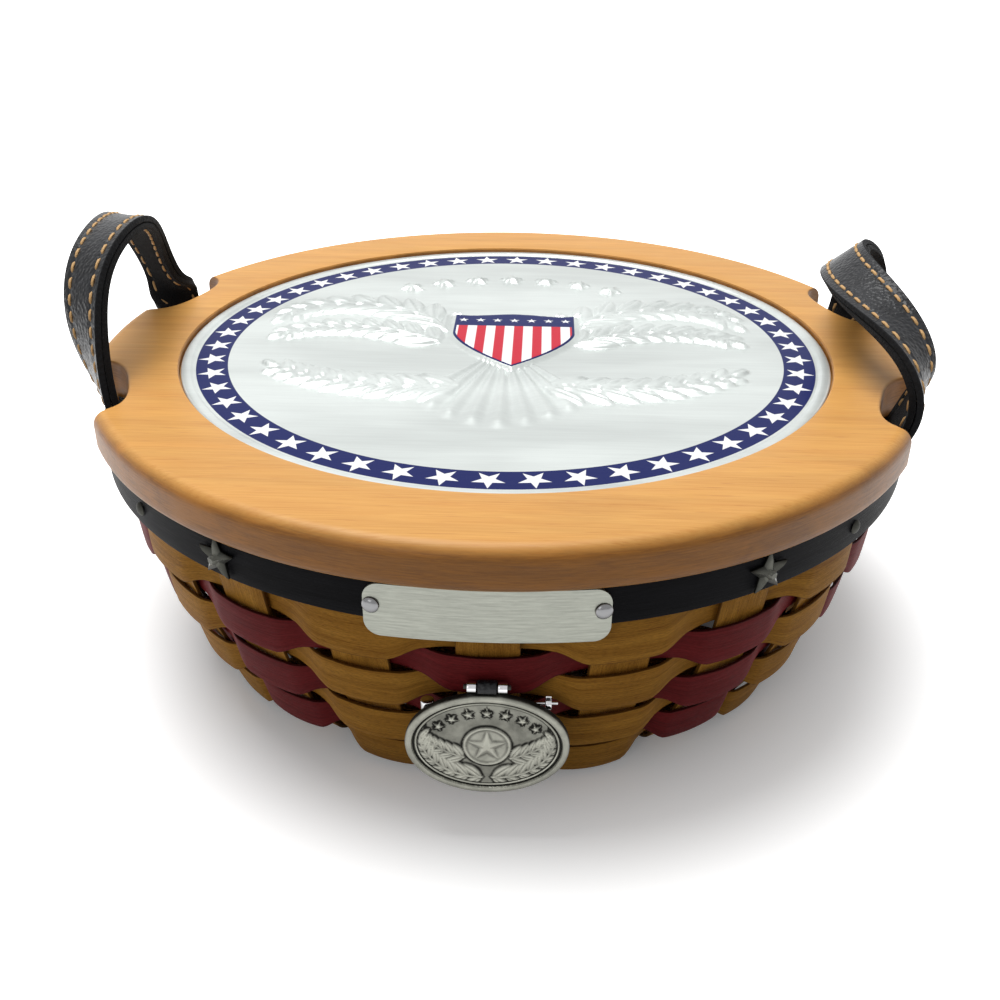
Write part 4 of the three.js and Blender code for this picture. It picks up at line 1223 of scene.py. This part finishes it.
class BASKET_OT_brooch(bpy.types.Operator):
    """Bend the bails and set the brooch pin, its hinge barrel and its open catch behind the medallion"""
    bl_idname = "basket.brooch"
    bl_label = "Bails and brooch pin"

    def execute(self, context):
        steel = surfaced("Bright steel", steel_surface)
        back = MEDAL_BACK + GAP + BAIL_THICK / 2
        path = [(back, MEDAL_LEVEL + 8.2), (back, PIVOT_Z - 7.4), (back, PIVOT_Z - 3.4),
                (PIVOT_Y + BAIL_RADIUS, PIVOT_Z - 1.4)]
        path = np.concatenate([smooth_path(path, 5), curl(BAIL_RADIUS, 0, 275, 24)])
        for name, sign in SIDES:
            bail = lay_ribbon(f"medallion_bail_{name}", path, BAIL_THICK, sign * BAIL_SPACING, BAIL_WIDTH, 0.16)
            finish_piece(bail, "medallion_swing", "bright_steel", steel, f"bail_{name}")
        barrel = CATCH_RADIUS + CATCH_WIRE
        pin = round_rod("brooch_wire", (-PIN_REACH + barrel + GAP, PIN_Y, PIN_LEVELS[0]),
                        (PIN_REACH + PIN_TIP, PIN_Y, PIN_LEVELS[1]), PIN_WIRE, 0.3)
        finish_piece(pin, "medallion_swing", "bright_steel", steel, "brooch_pin")
        hinge = round_rod("brooch_barrel", (-PIN_REACH, PIN_Y, PIN_LEVELS[0] - BARREL_HALF),
                          (-PIN_REACH, PIN_Y, PIN_LEVELS[0] + BARREL_HALF), barrel, 0.25, 32)
        finish_piece(hinge, "medallion_swing", "bright_steel", steel, "brooch_hinge")

        def place(u, v):
            turn = (120 + 300 * u) * DEG
            return stacked(PIN_REACH + (v - 0.5) * CATCH_WIDTH, PIN_Y + CATCH_RADIUS * np.cos(turn),
                           PIN_LEVELS[1] + CATCH_RADIUS * np.sin(turn))

        catch = strip("brooch_open_catch", (40, 4), place, (5 * CATCH_RADIUS, CATCH_WIDTH), 2 * CATCH_WIRE,
                      0.25, 3)
        finish_piece(catch, "medallion_swing", "bright_steel", steel, "brooch_catch")
        return {"FINISHED"}


# Node helpers

class Value:
    """A node's output that takes part in sums, each of which becomes a Math node."""

    def __init__(self, socket):
        self.socket = socket

    def __getitem__(self, key):
        """Another output of the same node."""
        return Value(self.socket.node.outputs[key])

    def __add__(self, other):
        return maths("ADD", self, other)

    def __sub__(self, other):
        return maths("SUBTRACT", self, other)

    def __rsub__(self, other):
        return maths("SUBTRACT", other, self)

    def __mul__(self, other):
        return maths("MULTIPLY", self, other)

    def __truediv__(self, other):
        return maths("DIVIDE", self, other)

    def __pow__(self, other):
        return maths("POWER", self, other)


def node(kind, inputs=None, tree=None, output=0, **options):
    """Adds a node and gives one of its outputs; without a tree it goes where the values that feed it are."""
    inputs = inputs or {}
    tree = tree or next(value.socket.id_data for value in inputs.values() if isinstance(value, Value))
    made = tree.nodes.new("ShaderNode" + kind)
    for key, value in options.items():
        setattr(made, key, value)
    for key, value in inputs.items():
        socket = made.inputs[key]
        if isinstance(value, Value):
            tree.links.new(value.socket, socket)
        else:
            socket.default_value = (*value, 1) if socket.type == "RGBA" else value
    return Value(made.outputs[output]) if made.outputs else made


def maths(operation, *values):
    return node("Math", dict(enumerate(values)), operation=operation)


def clamped(value):
    value.socket.node.use_clamp = True
    return value


def step(value, limit, soft):
    """0 below a limit and 1 above it, with an edge as soft as given."""
    return clamped((value - limit) * (1 / soft) + 0.5)


def hypotenuse(x, y):
    return maths("SQRT", x ** 2.0 + y ** 2.0)


def mix(share, first, second, blend="MIX"):
    return node("Mix", {0: share, 6: first, 7: second}, output=2, data_type="RGBA", blend_type=blend)


def ramp(share, start, end):
    """Greys between two stops, each a position and a value."""
    made = node("ValToRGB", {0: share})
    for element, (place, value) in zip(made.socket.node.color_ramp.elements, (start, end)):
        element.position = place
        element.color = (value, value, value, 1)
    return made


def stretched(vector, by):
    return node("VectorMath", {0: vector, 1: by}, operation="MULTIPLY")


def noise(vector, scale, detail=3, roughness=0.5, distortion=0.0):
    """Noise of one scale, or with a scale of its own along each axis."""
    if isinstance(scale, tuple):
        vector, scale = stretched(vector, scale), 1.0
    return node("TexNoise", {"Vector": vector, "Scale": scale, "Detail": detail, "Roughness": roughness,
                             "Distortion": distortion})


def bump(height, strength, distance):
    return node("Bump", {"Strength": strength, "Distance": distance, "Height": height})


def position(tree, shift=(0, 0, 0)):
    """Places on the object; a shift keeps a pattern off planes through the origin, where noise repeats itself."""
    return node("VectorMath", {0: node("TexCoord", tree=tree)["Object"], 1: shift}, operation="ADD")


def cut_edge(tree, start, end):
    """1 on the cut edges of bent stock, 0 on its faces."""
    return ramp(node("Attribute", tree=tree, attribute_name="Edge")["Fac"], (start, 0.0), (end, 1.0))


def seen(tree):
    """1 for what the camera sees, straight, mirrored or through a pane, and 0 for light that only bounces."""
    path = node("LightPath", tree=tree)
    indirect = maths("MAXIMUM", path["Is Glossy Ray"], path["Is Transmission Ray"])
    return maths("MAXIMUM", path["Is Camera Ray"], indirect)


def tinted(tone, *shares):
    """A colour with its parts scaled, all by one share or each by its own."""
    return tuple(part * share for part, share in zip(tone, shares * 3))


def shared(name, takes, gives):
    """Makes a function over node values into a node group with named sockets, filled in on its first use."""
    def wrap(build):
        def use(*values):
            group = bpy.data.node_groups.get(name)
            if group is None:
                group = bpy.data.node_groups.new(name, "ShaderNodeTree")
                for way, sockets in (("INPUT", takes), ("OUTPUT", gives)):
                    for label, kind in sockets.items():
                        group.interface.new_socket(label, in_out=way, socket_type="NodeSocket" + kind)
                given = group.nodes.new("NodeGroupInput").outputs
                result = group.nodes.new("NodeGroupOutput").inputs
                for socket, value in zip(result, build(*(Value(given[label]) for label in takes))):
                    group.links.new(value.socket, socket)
            return node("Group", dict(zip(takes, values)), node_tree=group)
        return use
    return wrap


def surfaced(name, build, *choices):
    """The material of this name; on first use, build gives its shader or the inputs of a Principled one."""
    material = bpy.data.materials.get(name)
    if material is None:
        material = bpy.data.materials.new(name)
        material.use_nodes = True
        tree = material.node_tree
        tree.nodes.clear()
        surface = build(tree, *choices)
        if isinstance(surface, dict):
            surface = node("BsdfPrincipled", surface, tree)
        node("OutputMaterial", {"Surface": surface})
    return material


# Materials

@shared("Wood grain", {"Vector": "Vector", "Pale": "Color", "Dark": "Color", "Fibre": "Float", "Run": "Float",
                       "Tone": "Float", "Pores": "Float"}, {"Color": "Color", "Height": "Float"})
def wood_grain(vector, pale, dark, fibre, run, tone, pores):
    """Long fibres, broad tone bands and short pores, running along the first coordinate."""
    fine = stretched(vector, node("CombineXYZ", {0: run, 1: fibre, 2: fibre}))
    fibres = noise(fine, 1.0, 5, 0.62, 0.3)
    bands = noise(fine, (0.35, 0.11, 0.11), 3, 0.5, 0.6)
    pits = ramp(noise(fine, (2.4, 0.9, 0.9), 2), (0.62, 0.0), (0.74, 1.0))
    streak = ramp(fibres, (0.3, 0.0), (0.7, 1.0))
    shade = mix(clamped((bands - 0.5) * tone + (streak * 0.5 + 0.25)), pale, dark)
    return mix(pits * pores, shade, dark, "MULTIPLY"), fibres - pits * 0.35


def splint_surface(tree, tint, sheen=0.5, gloss=0.08):
    """Thin split wood whose grain follows the strip's own map, burnt dark at its cut edges."""
    pale, dark = (getattr(settings("weave"), f"{tint}_{end}") for end in ("pale", "dark"))
    along = node("UVMap", tree=tree, uv_map="Along")
    grain = wood_grain(along, pale, dark, 2600.0, 70.0, 1.0, 0.5)
    fleck = noise(along, (650, 3600, 1), 2, 0.6)
    tone = mix(0.7, grain["Color"], ramp(fleck, (0.36, 0.62), (0.56, 1.0)), "MULTIPLY")
    tone = mix(0.6, tone, ramp(noise(along, (14, 90, 1)), (0.3, 0.7), (0.66, 1.0)), "MULTIPLY")
    return {"Base Color": mix(cut_edge(tree, 0.95, 0.99) * 0.85, tone, tinted(dark, 0.22)),
            "Roughness": grain["Height"] * 0.3 + (sheen - 0.08), "Specular IOR Level": gloss,
            "Normal": bump(fleck * 0.5 + grain["Height"], 0.4, 0.0002)}


def maple_surface(tree):
    """Pale turned board with fine straight grain across its width, with painted shade and a grain mottle on its steep
    edge and notch walls.
    """
    chosen = settings("lid")
    where = position(tree, NOISE_SHIFT)
    grain = wood_grain(where, chosen.maple_pale, chosen.maple_dark, 1700.0, 45.0, 0.65, 0.25)
    figure = noise(where, (9, 75, 75), 4, 0.55, 1.2)
    pore = noise(where, (130, 130, 2300), 3, 0.7, 0.5)
    tone = mix(0.45, grain["Color"], ramp(figure, (0.35, 0.8), (0.62, 1.0)), "MULTIPLY")
    # painted shade: steep faces, the board's edge and notch walls, go over to a much darker brown than the top, as
    # faces lit less from above; a grain mottle shows in that brown
    upward = node("SeparateXYZ", {0: node("NewGeometry", tree=tree)["Normal"]})["Z"]
    side = ramp(maths("ABSOLUTE", upward), (0.45, 1.0), (0.95, 0.0))
    mottle = ramp(figure * 0.5 + pore * 0.5, (0.38, 0.0), (0.6, 1.0))
    edge = mix(mottle, tinted(chosen.maple_dark, 0.34, 0.28, 0.16), tinted(chosen.maple_dark, 0.7, 0.62, 0.42))
    return {"Base Color": mix(side * 0.9, tone, edge), "Roughness": grain["Height"] * 0.18 + 0.34,
            "Specular IOR Level": 0.3, "Normal": bump(pore * side * 0.8 + grain["Height"], 0.16, 0.0002)}


@shared("Leather pebble", {"Vector": "Vector", "Cells": "Float"}, {"Height": "Float", "Wear": "Float"})
def pebble(vector, cells):
    """Fine cells of leather grain with a few creases."""
    near = node("TexVoronoi", {"Vector": vector, "Scale": cells}, feature="SMOOTH_F1")
    broad = noise(vector, 90.0, 4, 0.6, 0.4)
    return broad * 0.9 + near * -0.8, broad


def leather_surface(tree):
    """Pebbled black leather, raw at its cut edges."""
    base = settings("strap").leather
    grain = pebble(position(tree), 900.0)
    raw = cut_edge(tree, 0.93, 0.97)
    tone = mix(ramp(grain["Wear"], (0.35, 0.0), (0.7, 1.0)), base, tinted(base, 1.6))
    return {"Base Color": mix(raw, tone, tinted(base, 0.5)), "Specular IOR Level": 0.24,
            "Roughness": maths("MAXIMUM", grain["Wear"] * 0.28 + 0.17, raw * 0.9),
            "Normal": bump(grain["Height"], 0.8, 0.0005)}


def suede_surface(tree):
    """Flesh side of leather: matt, with a short clumped nap."""
    base = settings("strap").suede
    where = position(tree)
    clumps = noise(where, 260.0, 3, 0.6)
    return {"Base Color": mix(clumps, tinted(base, 0.7), tinted(base, 1.7)), "Roughness": 0.95,
            "Specular IOR Level": 0.08, "Sheen Weight": 0.08,
            "Normal": bump(clumps * 0.7 + noise(where, 1400.0, 4, 0.7), 0.9, 0.0006)}


def thread_surface(tree):
    """Waxed thread with a fine twist."""
    base = settings("strap").thread
    twist = noise(position(tree), 1900.0, 2, 0.6)
    return {"Base Color": mix(twist, tinted(base, 0.72), base), "Roughness": 0.6, "Normal": bump(twist, 0.5, 0.0002)}


@shared("Tarnish", {"Vector": "Vector", "Depth": "Float", "Pale": "Color", "Dark": "Color", "Soil": "Float"},
        {"Color": "Color", "Roughness": "Float", "Height": "Float"})
def tarnish(vector, depth, pale, dark, soil):
    """Blotchy tarnish and fine scratches of cast or rolled metal."""
    blotch = noise(vector, 220.0, 4, 0.6)
    shown = ramp(clamped(depth + (blotch - 0.5) * soil), (0.1, 0.0), (0.75, 1.0))
    return mix(shown, dark, pale), blotch * 0.12 + (1.0 - shown) * 0.3, noise(vector, 1500.0, 3, 0.6)


def cast_surface(tree, rough, shine=1.0, worn=0.0):
    """Cast pewter, dark where the piece's Depth attribute is low."""
    chosen = settings("metal")
    return tarnished(tree, rough, worn, tinted(chosen.pewter_pale, shine), chosen.pewter_dark, 0.6)


def rivet_surface(tree):
    """Domed steel with rust at its foot."""
    return tarnished(tree, 0.15, 0.0, tinted(settings("metal").steel, 0.33), srgb(62, 44, 28), 0.25)


def tarnished(tree, rough, worn, pale, dark, soil):
    """Tarnished metal whose dark places are named by the Depth attribute."""
    depth = node("Attribute", tree=tree, attribute_name="Depth")["Fac"]
    metal = tarnish(position(tree), depth + worn, pale, dark, soil)
    return {"Base Color": metal["Color"], "Metallic": 0.9, "Roughness": metal["Roughness"] + rough,
            "Normal": bump(metal["Height"], 0.25, 0.0001)}


def steel_surface(tree):
    """Bright wire and strip with faint smears."""
    smear = noise(position(tree), 600.0, 3, 0.6)
    base = settings("metal").steel
    return {"Base Color": mix(smear, tinted(base, 0.75), base), "Metallic": 1.0, "Roughness": smear * 0.12 + 0.1}


def tag_surface(tree):
    """Bare metal brushed along its length."""
    brush = noise(position(tree, NOISE_SHIFT), (110, 110, 1900), 4, 0.75, 0.4)
    base = settings("metal").tag
    shown = ramp(brush, (0.36, 0.0), (0.64, 1.0))
    return {"Base Color": mix(shown, tinted(base, 0.78), tinted(base, 1.1)), "Metallic": 0.85,
            "Roughness": brush * 0.2 + 0.26, "Normal": bump(brush, 0.12, 0.0001)}


@shared("Printed star", {"X": "Float", "Y": "Float", "Radius": "Float"}, {"Inside": "Float"})
def printed_star(x, y, radius):
    """1 inside a five-pointed star, by offsets from its middle with its tip along X."""
    # PINGPONG folds the turn at 0 and at every STAR_FOLD, and a tip lies at every second fold
    fold = maths("PINGPONG", maths("ARCTAN2", y, x), STAR_FOLD)
    span = hypotenuse(x, y)
    edge_x = STAR_VALLEY * math.cos(STAR_FOLD) - 1
    edge_y = STAR_VALLEY * math.sin(STAR_FOLD)
    size = math.hypot(edge_x, edge_y)
    # distance from the line between tip and valley, positive inside
    inside = ((radius - span * maths("COSINE", fold)) * (edge_y / size)
              + span * maths("SINE", fold) * (edge_x / size))
    return (clamped(inside / PRINT_SOFT + 0.5),)


def printed_shield(x, y):
    """Where a shield is printed and its tone: blue chief with small stars over stripes, in a blue outline."""
    chosen = settings("lid")
    half_w, half_h = SHIELD_HALF
    u = (x - SHIELD_CENTRE[0]) / half_w
    v = (y - SHIELD_CENTRE[1]) / half_h
    wide = maths("ABSOLUTE", u)
    top = maths("COSINE", maths("MINIMUM", wide, 1.0) * math.pi) * 0.1 + 0.72 + u ** 2.0 * 0.18
    side = 1.0 - (maths("MAXIMUM", 0.1 - v, 0.0) / 1.15) ** SHIELD_POINT
    inside = maths("MINIMUM", (top - v) * half_h, (side - wide) * (half_w * 0.8))
    stripe = maths("PINGPONG", u + 1.0, 2 / SHIELD_STRIPES)
    tone = mix(step(stripe, 1 / SHIELD_STRIPES, 1 / 90), chosen.print_white, chosen.print_red)
    chief = step(v, 0.34, 1 / 60)
    cell = 1 / SHIELD_STARS
    star = printed_star((v - 0.55) * half_h, maths("WRAP", u, cell, -cell) * half_w, 1.9)
    tone = mix(chief, tone, chosen.print_blue)
    tone = mix(star * chief, tone, chosen.print_white)
    return step(inside, 0.0, 1 / 8), mix(step(inside, 0.75, 1 / 8), chosen.print_blue, tone)


def plate_surface(tree):
    """Bright tin with a printed border of white stars and a printed shield."""
    chosen = settings("lid")
    where = position(tree, NOISE_SHIFT)
    flat = node("VectorMath", {0: position(tree), "Scale": 1 / MM}, operation="SCALE")
    split = node("SeparateXYZ", {0: flat})
    x, y = split["X"], split["Y"]
    span = hypotenuse(x, y)
    border = step(span, BORDER_INNER, 0.15) * (1.0 - step(span, BORDER_OUTER, 0.15))
    # one star in each sector, its tip pointing outward
    sector = math.pi / BORDER_STARS
    turn = maths("WRAP", maths("ARCTAN2", x, y * -1.0) - BORDER_TURN, sector, -sector)
    star = printed_star(span * maths("COSINE", turn) - BORDER_MIDDLE, span * maths("SINE", turn), BORDER_STAR)
    cover, shield = printed_shield(x, y)
    brush = noise(where, (40, 900, 900), 4, 0.6)
    # broad darker blotches of the bare tin: uneven metal, and painted reflection standing in for the cloudy
    # reflections of bright tin
    smear = ramp(noise(where, (9, 30, 30), 3, 0.6), (0.36, 0.0), (0.6, 1.0))
    tone = mix(smear * 0.5 + brush * 0.5, tinted(chosen.plate_pale, 0.68), chosen.plate_pale)
    for share, ink in ((border, chosen.print_blue), (border * star, chosen.print_white), (cover, shield)):
        tone = mix(share, tone, ink)
    printed = maths("MAXIMUM", border, cover)
    return {"Base Color": tone, "Metallic": printed * -0.45 + 0.45, "Specular IOR Level": printed * -0.24 + 0.3,
            "Roughness": brush * 0.14 + 0.26, "Normal": bump(brush, 0.08, 0.0002)}


def floor_surface(tree):
    """Floor that looks white to the camera, keeps the basket's shadow and throws little light back."""
    white = settings("stage").floor
    looked_at = seen(tree)
    reach = node("VectorMath", {0: position(tree)}, operation="LENGTH")["Value"]
    far = node("MapRange", {"Value": reach, "From Min": 0.06, "From Max": 0.25}, interpolation_type="SMOOTHSTEP")
    shade = node("BsdfDiffuse", {"Color": mix(looked_at, tinted(white, 0.25), white)})
    return node("AddShader", {0: shade, 1: node("Emission", {"Color": (1, 1, 1), "Strength": looked_at * far})})


# Stage

class BASKET_OT_stage(bpy.types.Operator):
    """Set the pale floor, the soft lamps and the camera at the photograph's angle"""
    bl_idname = "basket.stage"
    bl_label = "Stage"

    def execute(self, context):
        scene = context.scene
        chosen = settings("stage")
        floor = primitive("plane", "floor", size=8, location=(0, 0, -0.0002))
        floor.data.materials.append(surfaced("Pale floor", floor_surface))

        world = bpy.data.worlds.new("Studio")
        scene.world = world
        world.use_nodes = True
        tree = world.node_tree
        tree.nodes.clear()
        plain, shown = (node("Background", {"Color": (1, 1, 1), "Strength": strength}, tree)
                        for strength in (chosen.fill, 1.0))
        node("OutputWorld", {"Surface": node("MixShader", {0: seen(tree), 1: plain, 2: shown})})

        for name, place, size, power in (("Overhead", (-0.25, 0.2, 1.45), 1.1, chosen.key),
                                         ("Front", (-0.6, -1.3, 0.7), 0.7, chosen.key * 0.1)):
            data = bpy.data.lights.new(name, "AREA")
            data.shape = "DISK"
            data.size = size
            data.energy = power
            lamp = linked(name, data)
            lamp.location = place
            lamp.rotation_euler = (Vector((0, 0, 0.06)) - Vector(place)).to_track_quat("-Z", "Y").to_euler()

        data = bpy.data.cameras.new("Camera")
        data.lens = chosen.lens
        data.sensor_width = 36
        camera = linked("Camera", data)
        camera.matrix_world = camera_place()
        scene.camera = camera
        scene.view_settings.view_transform = "Standard"
        return {"FINISHED"}


def camera_place():
    """Camera of the photograph: it looks down on the basket, slightly rolled and turned."""
    right = Vector((1, 0, 0))
    down = Vector((0, -math.sin(CAMERA_PITCH), -math.cos(CAMERA_PITCH)))
    ahead = Vector((0, math.cos(CAMERA_PITCH), -math.sin(CAMERA_PITCH)))
    turn = Matrix.Rotation(CAMERA_TURN, 3, "Z")
    rolled_right = turn @ (math.cos(CAMERA_ROLL) * right - math.sin(CAMERA_ROLL) * down)
    rolled_down = turn @ (math.sin(CAMERA_ROLL) * right + math.cos(CAMERA_ROLL) * down)
    return columns(rolled_right, -rolled_down, -(turn @ ahead), CAMERA_PLACE)


# Sidebar panel and start

class BASKET_PT_panel(bpy.types.Panel):
    """Sizes, colours and pieces of the basket"""
    bl_label = "Woven splint basket"
    bl_idname = "BASKET_PT_panel"
    bl_space_type = "VIEW_3D"
    bl_region_type = "UI"
    bl_category = "Basket"

    def draw(self, context):
        layout = self.layout
        for name, group in SETTINGS.items():
            box = layout.box()
            box.label(text=group.__doc__)
            for key in group.__annotations__:
                box.prop(settings(name), key)
        for operator in OPERATORS:
            layout.operator(operator.bl_idname)


SETTINGS = {"weave": WeaveSettings, "lid": LidSettings, "strap": StrapSettings, "metal": MetalSettings,
            "stage": StageSettings}
OPERATORS = (BASKET_OT_stakes, BASKET_OT_rows, BASKET_OT_floor, BASKET_OT_hoops, BASKET_OT_tacks, BASKET_OT_stars,
             BASKET_OT_tag, BASKET_OT_lid_board, BASKET_OT_lid_plate, BASKET_OT_handles, BASKET_OT_stitching,
             BASKET_OT_hanger, BASKET_OT_medallion, BASKET_OT_brooch, BASKET_OT_stage)


def register():
    for item in (*SETTINGS.values(), *OPERATORS, BASKET_PT_panel):
        bpy.utils.register_class(item)
    for name, group in SETTINGS.items():
        setattr(bpy.types.Scene, "basket_" + name, PointerProperty(type=group))


def unregister():
    for name in SETTINGS:
        delattr(bpy.types.Scene, "basket_" + name)
    for item in reversed((*SETTINGS.values(), *OPERATORS, BASKET_PT_panel)):
        bpy.utils.unregister_class(item)


def main():
    register()
    for operator in OPERATORS:
        group, name = operator.bl_idname.split(".")
        getattr(getattr(bpy.ops, group), name)()


if __name__ == "__main__":
    main()
